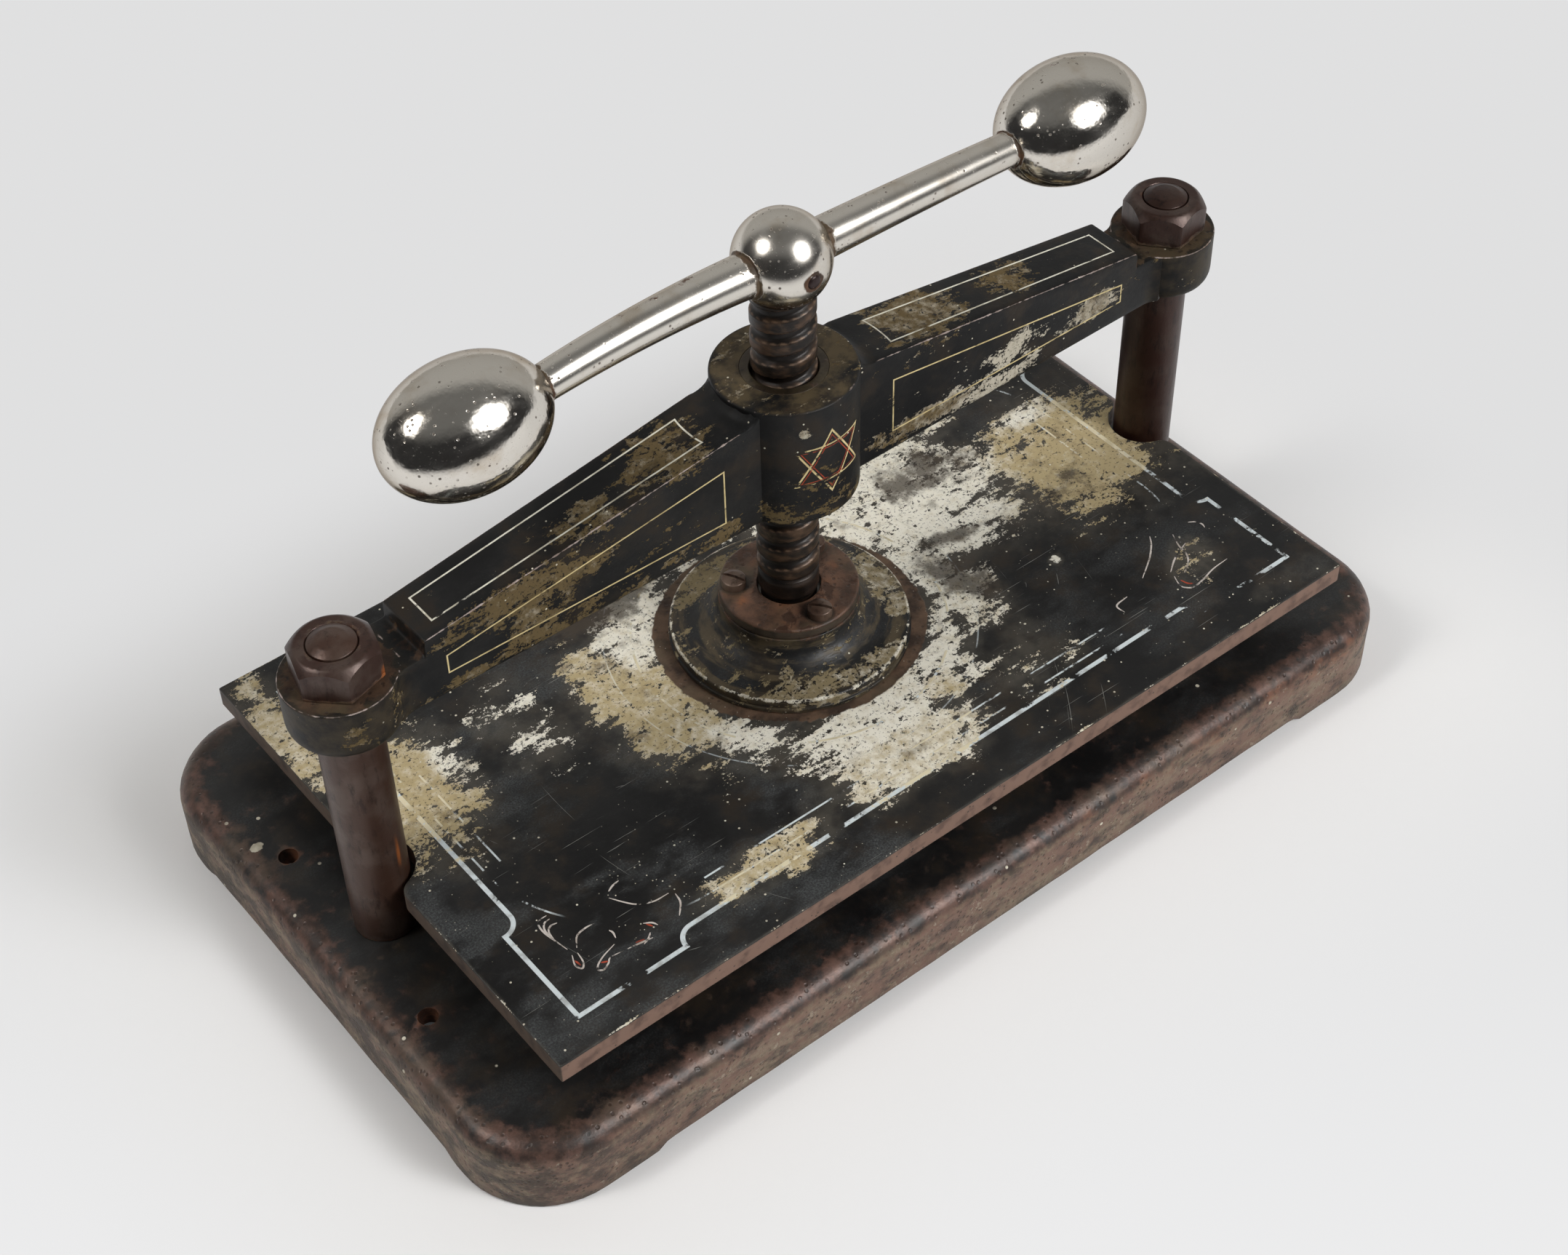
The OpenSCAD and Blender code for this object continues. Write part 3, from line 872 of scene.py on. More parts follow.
@dataclass(frozen=True)
class WornSide:
    """Side of an old casting: streaked khaki-brown, red-brown in places, with soil and fine pits."""

    brown: Colour = (0.190, 0.110, 0.080)
    khaki: Colour = (0.245, 0.192, 0.132)
    chip: Colour = (0.36, 0.30, 0.225)
    red: Colour = (0.23, 0.086, 0.044)
    soil: Colour = (0.032, 0.025, 0.020)
    pit: Colour = (0.014, 0.010, 0.008)

    def layer(self, desk: Desk) -> Layer:
        """The layer on a desk: khaki by the piece's pale field, redder by its orange one.

        Args:
            desk: the material.

        Returns:
            The coat.
        """
        streak = desk.noise(9.0, 6.0, 0.65, stretch=(0.25, 0.25, 1.0))
        fleck = desk.noise(2.6, 6.0, 0.72)
        share = streak * 0.9 + fleck * 0.9 + desk.field(Wear.PALE)
        tint = desk.mix(self.brown, self.khaki, share.step(0.78, 1.12))
        tint = desk.mix(tint, self.red, (desk.field(Wear.ORANGE) + (streak - 0.5) * 1.2).step(0.2, 0.75))
        chips = desk.noise(4.0, 7.0, 0.70, shift=(3.0, 8.0, 1.0)).step(0.60, 0.63)
        tint = desk.mix(tint, self.chip, chips * 0.8)
        pits = desk.cells(2.3).step(0.36, 0.18) * desk.noise(12.0, 3.0).step(0.40, 0.56)
        tint = desk.mix(tint, self.pit, pits * 0.5)
        soil = desk.noise(8.0, 8.0, 0.68, stretch=(0.6, 0.6, 1.0))
        x, _, _ = desk.axes()
        soil = soil + x.step(-140.0, -210.0) * 0.08
        tint = desk.mix(tint, self.soil, soil.step(0.46, 0.66) * 0.8)
        return Layer(tint, 0.36 + fleck * 0.35, 0.3, streak * 0.3 + fleck * 0.2 - pits * 0.25 + chips * 0.1)


@dataclass(frozen=True)
class ThinCoat:
    """Thin coat that varies between two tones: line paint, dust, oil or soil."""

    tint: Colour
    shade: Colour

    def layer(self, desk: Desk) -> Layer:
        """The coat on a desk."""
        tone = desk.noise(6.0, 4.0)
        return Layer(desk.mix(self.tint, self.shade, tone.step(0.45, 0.7)), 0.55, 0.0, 0.03)


@dataclass(frozen=True)
class BrownSteel:
    """Turned steel under an even plum-brown patina, with a soft shine."""

    plum: Colour = (0.060, 0.030, 0.020)
    grey: Colour = (0.086, 0.055, 0.042)
    dark: Colour = (0.022, 0.011, 0.008)
    orange: Colour = (0.36, 0.105, 0.025)

    def layer(self, desk: Desk) -> Layer:
        """The patina on a desk.

        Args:
            desk: the material.

        Returns:
            The coat.
        """
        cloud = desk.noise(14.0, 5.0)
        tint = desk.mix(self.plum, self.grey, cloud.step(0.42, 0.64))
        spots = desk.noise(3.0, 6.0, 0.68, stretch=(1.0, 1.0, 0.3))
        tint = desk.mix(tint, self.dark, spots.step(0.50, 0.68) * 0.75)
        fresh = desk.field(Wear.ORANGE) + (spots - 0.5) * 0.8
        tint = desk.mix(tint, self.orange, fresh.step(0.3, 0.85))
        fine = desk.noise(0.8, 2.0)
        return Layer(tint, 0.24 + spots * 0.2 + fine * 0.06, 0.4, spots * 0.09 + fine * 0.03)


@dataclass(frozen=True)
class OiledSteel:
    """Dark screw steel with old oil: brown-black in the grooves, worn and lightened by a painted highlight on
    the crests' edges.
    """

    oil: Colour = (0.009, 0.006, 0.0045)
    steel: Colour = (0.108, 0.060, 0.033)
    crest: Colour = (0.22, 0.14, 0.088)

    def layer(self, desk: Desk) -> Layer:
        """The steel on a desk.

        Args:
            desk: the material.

        Returns:
            The coat.
        """
        cloud = desk.noise(9.0, 5.0, stretch=(1.0, 1.0, 2.5))
        tint = desk.mix(self.oil, self.steel, cloud.step(0.4, 0.75))
        tint = desk.mix(tint, self.oil, desk.field(Wear.RUST))
        fine = desk.noise(1.2, 3.0, stretch=(0.3, 0.3, 3.0))
        # Lighter crest edges: wear and a painted highlight, from the piece's edge field.
        edge_wear_and_highlight = desk.field(Wear.EDGE) + desk.noise(4.0, 4.0) - 0.5
        tint = desk.mix(tint, self.crest, edge_wear_and_highlight.step(0.2, 1.1) * 0.7)
        return Layer(tint, 0.32 + fine * 0.22, 0.3, fine * 0.06 + cloud * 0.1)


@dataclass(frozen=True)
class Nickel:
    """Worn nickel plate: warm, clear, duller at its rim, with a brown film, scratches and dark pits."""

    bright: Colour = (0.75, 0.71, 0.645)
    film: Colour = (0.50, 0.41, 0.30)
    pit: Colour = (0.06, 0.042, 0.030)
    rim: Colour = (0.52, 0.48, 0.44)

    def layer(self, desk: Desk) -> Layer:
        """The plate on a desk.

        Args:
            desk: the material.

        Returns:
            The coat.
        """
        cloud = desk.noise(15.0, 4.0)
        tint = desk.mix(self.bright, self.film, cloud.step(0.5, 0.8) * 0.65)
        speck = desk.cells(2.8).step(0.23, 0.13) * desk.noise(10.0, 2.0).step(0.47, 0.55)
        scratch = desk.noise(0.55, 2.0, stretch=(1.0, 0.08, 1.0)).step(0.66, 0.74)
        marks = speck.most(scratch * 0.35)
        tint = desk.mix(tint, self.pit, marks * 0.8)
        satin = desk.field(Wear.EDGE)
        haze = desk.noise(4.0, 5.0, stretch=(0.3, 1.0, 1.0)).step(0.35, 0.75)
        rough = 0.09 + haze * (0.10 - satin * 0.05) + marks * 0.35 + satin * 0.13
        dents = desk.noise(8.0, 3.0, shift=(5.0, 9.0, 2.0))
        waves = (cloud * 0.18 + dents * 0.20) * (1.0 - satin)
        return Layer(tint, rough, 1.0 - marks * 0.5, waves - speck * 0.05)


@dataclass(frozen=True)
class TurnedSteel:
    """Plain turned steel of the hidden pieces, with tool rings and a little oil."""

    steel: Colour = (0.40, 0.38, 0.355)
    oil: Colour = (0.16, 0.12, 0.085)

    def material(self) -> Material:
        """The whole finish.

        Returns:
            The material.
        """
        desk = Desk("turned_steel")
        marks = desk.noise(0.9, 2.0, stretch=(0.2, 0.2, 4.0))
        cloud = desk.noise(8.0, 4.0)
        tint = desk.mix(self.steel, self.oil, cloud.step(0.45, 0.75))
        return desk.finish(Layer(tint, 0.3 + marks * 0.2, 0.9, marks * 0.03))


def flakes(desk: Desk, size: float = 11.0, edge: float = 0.05) -> Sock:
    """Where the black has come off: ragged islands in and around the piece's worn places.

    The wear field is raised and lowered by noise that is stretched along X, as the flakes are, and small
    islands of black are left inside them.

    Args:
        desk: the material.
        size: size of the islands in millimetres.
        edge: softness of their edges.

    Returns:
        1 on bare ground coat, 0 on black.
    """
    broad = desk.noise(size, 9.0, 0.7, stretch=(0.55, 1.0, 1.0))
    streak = desk.noise(0.25 * size, 4.0, stretch=(0.14, 1.0, 1.0))
    crumbs = desk.noise(1.2, 4.0, 0.7)
    value = desk.field(Wear.LOSS) + (broad - 0.51) * 3.1 + (streak - 0.5) * 0.7 + (crumbs - 0.5) * 1.1
    left = desk.noise(0.4 * size, 7.0, 0.66, shift=(9.0, 4.0, 6.0))
    return value.step(0.0, edge) * (value * 0.03 - left).step(-0.61, -0.59)


def rusting(desk: Desk, low: float = 0.42, high: float = 0.62) -> Sock:
    """Where rust shows: the piece's rust field, broken up by noise, stepped from low to high."""
    mottle = desk.noise(6.5, 6.0, 0.62)
    return (desk.field(Wear.RUST) + (mottle - 0.5) * 1.5).step(low, high)


def specks(desk: Desk, gap: float, radius: float) -> Sock:
    """Scattered specks of a radius, among points that lie about a gap apart, thinned out in patches.

    Args:
        desk: the material.
        gap: mean distance between points.
        radius: size of a speck.

    Returns:
        1 on a speck.
    """
    share = radius / gap
    dots = desk.cells(gap).step(1.2 * share, 0.8 * share)
    return dots * desk.noise(4.0 * gap, 2.0).step(0.49, 0.55)


def fine_lines(desk: Desk, width: float, spot: Sock) -> Sock:
    """Thin lines where noise over a drawn-out vector is high, kept in patches only."""
    lines = desk.noise(2.0 * width, 1.0, vector=spot)
    return lines.step(0.75, 0.79) * desk.noise(30.0, 2.0).step(0.45, 0.6)


def scratches(desk: Desk, degrees: float, width: float) -> Sock:
    """Long straight scratches: fine lines drawn out along one direction.

    Args:
        desk: the material.
        degrees: the direction, as an angle to X.
        width: about how wide they are, in millimetres.

    Returns:
        1 on a scratch, 0 beside it.
    """
    spin = (0.0, 0.0, -radians(degrees))
    spot = desk.node("Mapping", {"Vector": desk.place, "Rotation": spin, "Scale": (0.018, 1.0, 1.0)})
    return fine_lines(desk, width, spot)


def swirls(desk: Desk, centre: Pair, width: float) -> Sock:
    """Wiping scratches: fine lines in distance and angle about a centre, drawn out along the angle.

    Args:
        desk: the material.
        centre: x and y of the centre.
        width: about how wide they are, in millimetres.

    Returns:
        1 on a scratch, 0 beside it.
    """
    x, y, _ = desk.axes(desk.vector("ADD", desk.place, (-centre[0], -centre[1], 0.0)))
    spot = desk.node("CombineXYZ", {0: x.angle(y) * (6.0 * width), 1: x.hypot(y)})
    return fine_lines(desk, width, spot)


CREAM_LINE = ThinCoat((0.66, 0.54, 0.28), (0.42, 0.33, 0.16))
WHITE_LINE = ThinCoat((0.60, 0.66, 0.68), (0.36, 0.38, 0.38))
IVORY_LINE = ThinCoat((0.74, 0.72, 0.62), (0.45, 0.42, 0.33))
RED_LINE = ThinCoat((0.38, 0.060, 0.026), (0.20, 0.036, 0.018))
SPECK_PAINT = ThinCoat((0.62, 0.58, 0.47), (0.40, 0.36, 0.27))
# Pale edge tone: bare metal and a painted highlight along rounded edges.
WORN_EDGE_AND_HIGHLIGHT = ThinCoat((0.47, 0.39, 0.36), (0.22, 0.16, 0.13))
SCRATCH = ThinCoat((0.20, 0.20, 0.185), (0.10, 0.097, 0.09))
BROWN_WALL = ThinCoat((0.195, 0.116, 0.084), (0.110, 0.062, 0.044))
SCROLL_PAINT = ThinCoat((0.55, 0.50, 0.46), (0.34, 0.29, 0.25))
OLIVE_OIL = ThinCoat((0.092, 0.068, 0.036), (0.044, 0.032, 0.019))
# Dark coat: grime in some places, painted shade in others (the base's foot, the keeper disc's wall, round its
# screws).
GRIME_AND_SHADE = ThinCoat((0.050, 0.037, 0.025), (0.020, 0.015, 0.011))
SMOKE = ThinCoat((0.082, 0.073, 0.058), (0.038, 0.034, 0.028))
CREAM_WASH = ThinCoat((0.68, 0.61, 0.43), (0.52, 0.45, 0.29))


@dataclass(frozen=True)
class PlainBrown:
    """A piece that is brown steel all over, with rust where its field says so."""

    name: str
    steel: BrownSteel = BrownSteel()
    rust: Rust = Rust()

    def layer(self, desk: Desk) -> Layer:
        """Steel and rust on a desk."""
        return self.steel.layer(desk).under(self.rust, rusting(desk))

    def material(self) -> Material:
        """The whole finish."""
        desk = Desk(self.name)
        return desk.finish(self.layer(desk))


def coat(piece: Piece, finish: Material) -> None:
    """Give a piece, or a CAD node that stays, its material."""
    piece.data.materials.clear()
    piece.data.materials.append(finish)


def show(piece: Piece, body: Body, slot: Slot, finish: Material, *nodes: str) -> None:
    """Hand a finished piece to the frame.

    Args:
        piece: the mesh object.
        body: the body that it moves with.
        slot: the record's material slot; not used.
        finish: its material.
        nodes: CAD nodes that it stands for.
    """
    coat(piece, finish)
    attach(piece, body.value)
    if nodes:
        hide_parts(*nodes)
    log.info("%s: %d vertices, rides on %s", piece.name, len(piece.data.vertices), body.value)


@dataclass
class Base:
    """The cast base: a hollow plate on four corner feet, with fixing holes at its ends."""

    half_x: float = 232.5
    half_y: float = 133.8
    height: float = 33.5
    corner_r: float = 38.0
    edge_r: float = 9.0
    wall: float = 8.0
    top_t: float = 9.0
    rim_r: float = 1.2
    rise: float = 3.0
    foot_x: float = 170.5
    foot_y: float = 89.8
    foot_slope: float = 5.0
    hole_x: float = 213.6
    hole_y: float = 50.0
    hole_r: float = 4.0
    pad_x: float = 200.0
    pad_r: float = 20.3
    pad_z: float = 19.5
    lump: float = 0.45
    blot: Pair = (-221.0, 62.0)

    def outline(self) -> tuple[Array, Array]:
        """Loop of the plan: corner centres and outward directions.

        A loop at a distance d inside the edge is core + (corner radius - d) * outward.

        Returns:
            (n, 2) core points and (n, 2) directions.
        """
        bend = np.linspace(0.0, pi / 2, 13)
        quarters = bend[None, :] + np.arange(4)[:, None] * pi / 2
        outward = np.stack([np.cos(quarters), np.sin(quarters)], axis=-1)
        x, y = self.half_x - self.corner_r, self.half_y - self.corner_r
        middle = np.array([[x, y], [-x, y], [-x, -y], [x, -y]])
        core = np.broadcast_to(middle[:, None, :], outward.shape)
        loop_core, loop_out = core.reshape(-1, 2), outward.reshape(-1, 2)
        table = np.concatenate([loop_core, loop_out], axis=1)
        table = evenly(np.concatenate([table, table[:1]]), 4.0)
        return table[:-1, :2], table[:-1, 2:]

    def skirt(self, place: Array, outward: Array) -> Array:
        """Height of the skirt's rim: nothing at the feet, the full rise between them.

        Args:
            place: (n, 2) points of the plan.
            outward: (n, 2) directions.

        Returns:
            (n,) heights in millimetres.
        """
        along_x = smoothstep(0.0, self.foot_slope, self.foot_x - np.abs(place[:, 0]))
        along_y = smoothstep(0.0, self.foot_slope, self.foot_y - np.abs(place[:, 1]))
        front = np.abs(outward[:, 1]) > 0.999
        end = np.abs(outward[:, 0]) > 0.999
        return self.rise * np.where(front, along_x, np.where(end, along_y, 0.0))

    def skin(self) -> Surface:
        """Outer skin: rows from the top's middle over the edge, under the rim and up into the hollow.

        Returns:
            The closed skin.
        """
        core, outward = self.outline()
        rim = self.skirt(core + self.corner_r * outward, outward)[:, None]
        bend = np.linspace(pi / 2, 0.0, 10)
        rows = [(s, self.edge_r, self.height, 0.0) for s in np.linspace(0.0, 1.0, 40)]
        rows += [
            (1.0, self.edge_r * (1 - cos(a)), self.height - self.edge_r * (1 - sin(a)), 0.0)
            for a in bend[1:]
        ]
        low, tall = self.rim_r, self.height - self.edge_r
        rows += [(1.0, 0.0, low + (tall - low) * (1 - t), t) for t in np.linspace(0.0, 1.0, 9)[1:]]
        rows += [(1.0, 0.35 * low, 0.35 * low, 1.0), (1.0, low, 0.0, 1.0), (1.0, self.wall - low, 0.0, 1.0)]
        rows += [(1.0, self.wall - 0.35 * low, 0.35 * low, 1.0), (1.0, self.wall, low, 1.0)]
        ceiling = self.height - self.top_t
        rows += [(1.0, self.wall, low + (ceiling - low) * t, 1 - t) for t in np.linspace(0.0, 1.0, 6)[1:]]
        rows += [(s, self.wall, ceiling, 0.0) for s in np.linspace(1.0, 0.0, 20)[1:]]
        scale, inset, level, lift = (np.array(column)[:, None, None] for column in zip(*rows))
        plan = scale * (core[None] + (self.corner_r - inset) * outward[None])
        z = level[..., 0] + lift[..., 0] * rim[:, 0][None, :]
        return Surface.grid(np.concatenate([plan, z[..., None]], axis=-1))

    def build(self) -> Piece:
        """The casting as a mesh, with its holes cut.

        Returns:
            The piece.
        """
        piece = make_object("cast_base", self.skin())
        tool = plug(self.hole_r, -2.0, self.height + 2.0, 32)
        spots = [(sx * self.hole_x, sy * self.hole_y) for sx in (-1, 1) for sy in (-1, 1)]
        combine(piece, Surface.joined(*(tool.moved(x, y) for x, y in spots)), Cut.REMOVE)
        pad = plug(self.pad_r, self.pad_z, self.height - self.top_t + 1.0, 64)
        combine(piece, Surface.joined(pad.moved(self.pad_x), pad.moved(-self.pad_x)), Cut.JOIN)
        self.weather(piece)
        even_normals(piece)
        return piece

    def weather(self, piece: Piece) -> None:
        """Sink the casting's skin a little unevenly, and paint its wear fields.

        Args:
            piece: the piece, which changes.
        """
        points = points_of(piece)
        flat = points[:, :2]
        core = np.array([self.half_x, self.half_y]) - self.corner_r
        past = np.abs(flat) - core
        outside = np.linalg.norm(np.maximum(past, 0.0), axis=1) + np.minimum(past.max(axis=1), 0.0)
        inside = self.corner_r - outside
        wave = (ripple(points, 90.0, 1.7) + 0.6 * ripple(points, 34.0, 4.1)) / 1.6
        way = flat - np.clip(flat, -core, core)
        way /= np.maximum(np.linalg.norm(way, axis=1, keepdims=True), 1e-6)
        sink = np.where(inside < self.edge_r, self.lump * (0.5 + 0.5 * wave), 0.0)
        flat -= sink[:, None] * way
        piece.data.vertices.foreach_set("co", (points * MM).astype(np.float32).ravel())
        x, y, z = points.T
        fall = self.height - z
        shoulder = smoothstep(16.0, 7.0, inside) * 0.62
        well = np.hypot(np.abs(x) - self.hole_x, np.abs(y) - self.hole_y) < self.hole_r + 0.3
        front = smoothstep(self.half_y - 14.0, self.half_y - 4.0, np.abs(y))
        band = smoothstep(1.0, 3.0, fall) * smoothstep(17.0, 8.0, fall)
        ruddy = 0.16 + 0.16 * smoothstep(-20.0, 160.0, x)
        paint(piece, {
            Wear.RUST: np.where(well, 0.7, np.maximum(shoulder, 0.19) + 0.12 * wave),
            Wear.ORANGE: np.where(well, 0.4, (ruddy + 0.30 * wave) * band * (0.4 + 0.6 * front)),
            Wear.LOSS: smoothstep(1.5, 8.5, fall) * (inside < self.edge_r + 2.0),
            Wear.PALE: 0.06 - 0.06 * front,
        })

    def finish(self) -> Material:
        """Black going brown at the shoulder, khaki-brown pitted sides with painted shade darkening them
        towards the floor, a few cream specks.

        Returns:
            The material.
        """
        desk = Desk("base_black_and_rust")
        tints = (0.034, 0.020, 0.015), (0.142, 0.079, 0.060), (0.115, 0.083, 0.060)
        brown = Rust(*tints, rough=0.42, metal=0.25)
        skin = Lacquer().layer(desk, 0.4).under(brown, rusting(desk, 0.25, 0.75))
        ragged = desk.field(Wear.LOSS) + (desk.noise(6.0, 6.0, 0.66) - 0.5) * 0.9
        skin = skin.under(WornSide(), ragged.step(0.3, 0.95))
        x, y, z = desk.axes()
        # Painted shade: darker towards the floor, below about 9 mm, with a noisy edge.
        painted_foot_shade = z + (desk.noise(8.0, 5.0) - 0.5) * 14.0
        skin = skin.under(GRIME_AND_SHADE, painted_foot_shade.step(9.0, -1.0) * 0.6)
        blot = (x - self.blot[0]).hypot((y - self.blot[1]) * 1.6) + (desk.noise(3.0, 3.0) - 0.5) * 4.0
        skin = skin.under(SPECK_PAINT, specks(desk, 12.0, 0.8).most(blot.step(3.4, 2.8)))
        return desk.finish(skin)

    def dress(self) -> None:
        """Build the casting and show it in place of its node."""
        show(self.build(), Body.FRAME, Slot.IRON, self.finish(), "base")


@dataclass
class Columns:
    """The two turned columns with their nuts.

    The rust streak on the left column is a patch in degrees round the column and height.
    """

    spacing: float = 400.0
    radius: float = 12.5
    stud_r: float = 9.0
    base_z: float = 33.5
    beam_z: float = 146.3
    eye_z: float = 169.5
    dome: float = 2.8
    nut_af: float = 30.0
    nut_h: float = 15.0
    nut_round: float = 13.2
    nut_slope: float = 0.62
    nut_turn: Pair = (15.5, 10.5)
    bore_r: float = 9.1
    seam: float = 0.6
    streak: Patch = Patch((-68.0, 80.0, 0.0), (10.0, 17.0, 1.0))

    def column(self, side: Side) -> Piece:
        """Turned bar: stud, column and domed stud end, as one profile.

        Args:
            side: which end of the press.

        Returns:
            The piece.
        """
        top = self.eye_z + self.nut_h
        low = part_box(f"column_{side.label}")[0].z / MM
        skin = spun([
            (0.0, low, 0.0), (self.stud_r, low, 1.2), (self.stud_r, self.base_z, 0.0),
            (self.radius, self.base_z, 0.7), (self.radius, self.beam_z, 0.7),
            (self.stud_r, self.beam_z, 0.0), (self.stud_r, top + 0.2, 0.5),
            (0.62 * self.stud_r, top + 0.72 * self.dome, 4.0), (0.0, top + self.dome, 0.0),
        ], 2.5)
        piece = make_object(f"turned_column_{side.label}", skin.moved(self.x(side)))
        x, y, z = points_of(piece).T
        angle = np.degrees(np.arctan2(y, x - self.x(side)))
        flat = np.stack([angle, z, 0.0 * z], axis=-1)
        streak = np.maximum(self.streak.depth(flat), 0.0) * (side is Side.LEFT)
        foot = smoothstep(self.base_z + 5.0, self.base_z, z) * 0.4
        warm = 0.3 * smoothstep(-105.0, -65.0, angle) * (angle < 0.0)
        paint(piece, {Wear.ORANGE: np.maximum.reduce([0.9 * streak, foot, warm]), Wear.RUST: foot})
        return piece

    def x(self, side: Side) -> float:
        """Place of a column along X."""
        return side.value * self.spacing / 2

    def nut(self, side: Side) -> Piece:
        """Hexagon nut: at an angle a its wall stands at half the flats over the largest cosine to a flat.

        That cosine is a power mean, which rounds the corners. The top falls by a slope past a round land,
        so the crown meets the flats in the arcs of a turned chamfer.

        Args:
            side: which end of the press.

        Returns:
            The piece.
        """
        turn = radians(side.pick(self.nut_turn))
        angle = circle(144)
        flats = radians(30.0) + np.arange(6) * pi / 3
        near = np.maximum(np.cos(angle[None, :] - flats[:, None]), 0.0)
        wall = self.nut_af / 2 / (near**70).sum(axis=0) ** (1 / 70)
        wall = np.minimum(wall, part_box(f"column_nut_{side.label}")[1].x / MM - self.x(side) + 0.6)

        def crown(radius: Array) -> Array:
            """Height of the top at a radius."""
            past = np.maximum(radius - self.nut_round, 0.0)
            return self.nut_h - self.nut_slope * past**1.35

        lift = np.linspace(0.0, 1.0, 9)[:, None]
        edge = crown(wall)
        side_r = np.broadcast_to(wall, (9, len(wall)))
        side_z = 0.5 + (edge - 0.5) * lift
        inward = np.linspace(1.0, 0.0, 12)[1:, None]
        top_r = self.bore_r + self.seam + (wall - self.bore_r - self.seam) * inward
        bore = np.array([[self.bore_r, self.nut_h - 0.7], [self.bore_r, 0.0], [wall.min() - 0.6, 0.0]])
        bore_r = np.broadcast_to(bore[:, :1], (3, len(wall)))
        bore_z = np.broadcast_to(bore[:, 1:], (3, len(wall)))
        radius = np.concatenate([side_r, top_r, bore_r, side_r[:1]])
        height = np.concatenate([side_z, crown(top_r), bore_z, side_z[:1]])
        skin = Surface.grid(rings(radius, height + self.eye_z, angle + turn))
        piece = make_object(f"hex_nut_{side.label}", skin.moved(self.x(side)), 24.0)
        x, y, z = points_of(piece).T
        x = x - self.x(side)
        seam = smoothstep(2.2, 0.4, np.abs(np.hypot(x, y) - self.bore_r - 0.8)) * (z > self.eye_z + 10)
        streak = smoothstep(16.0, 4.0, np.abs(np.degrees(np.arctan2(y, x)) + 42.0))
        fresh = 0.8 * streak * smoothstep(self.eye_z + 13, self.eye_z, z) * (side is Side.LEFT)
        low = smoothstep(self.eye_z + 4.0, self.eye_z, z)
        paint(piece, {
            Wear.ORANGE: np.maximum.reduce([fresh, 0.25 * low, 0.3 * seam]),
            Wear.RUST: np.maximum(0.75 * low, 0.45 * seam),
        })
        return piece

    def dress(self) -> None:
        """Build both columns and nuts, and give the nuts under the base their finish."""
        dark = BrownSteel((0.046, 0.022, 0.016), (0.076, 0.050, 0.040))
        finish = PlainBrown("nut_brown", dark).material()
        # The right column's darker copy of the patina is painted shade: it stands in the crossbeam's shadow.
        shaded = BrownSteel((0.036, 0.014, 0.009), (0.046, 0.024, 0.017), (0.012, 0.005, 0.004))
        turned = {
            Side.LEFT: PlainBrown("column_brown").material(),
            Side.RIGHT: PlainBrown("column_painted_shade_brown", shaded).material(),
        }
        for side in Side:
            show(self.column(side), Body.FRAME, Slot.BROWN, turned[side], f"column_{side.label}")
            show(self.nut(side), Body.FRAME, Slot.BROWN, finish, f"column_nut_{side.label}")
            coat(bpy.data.objects[f"base_nut_{side.label}"], finish)


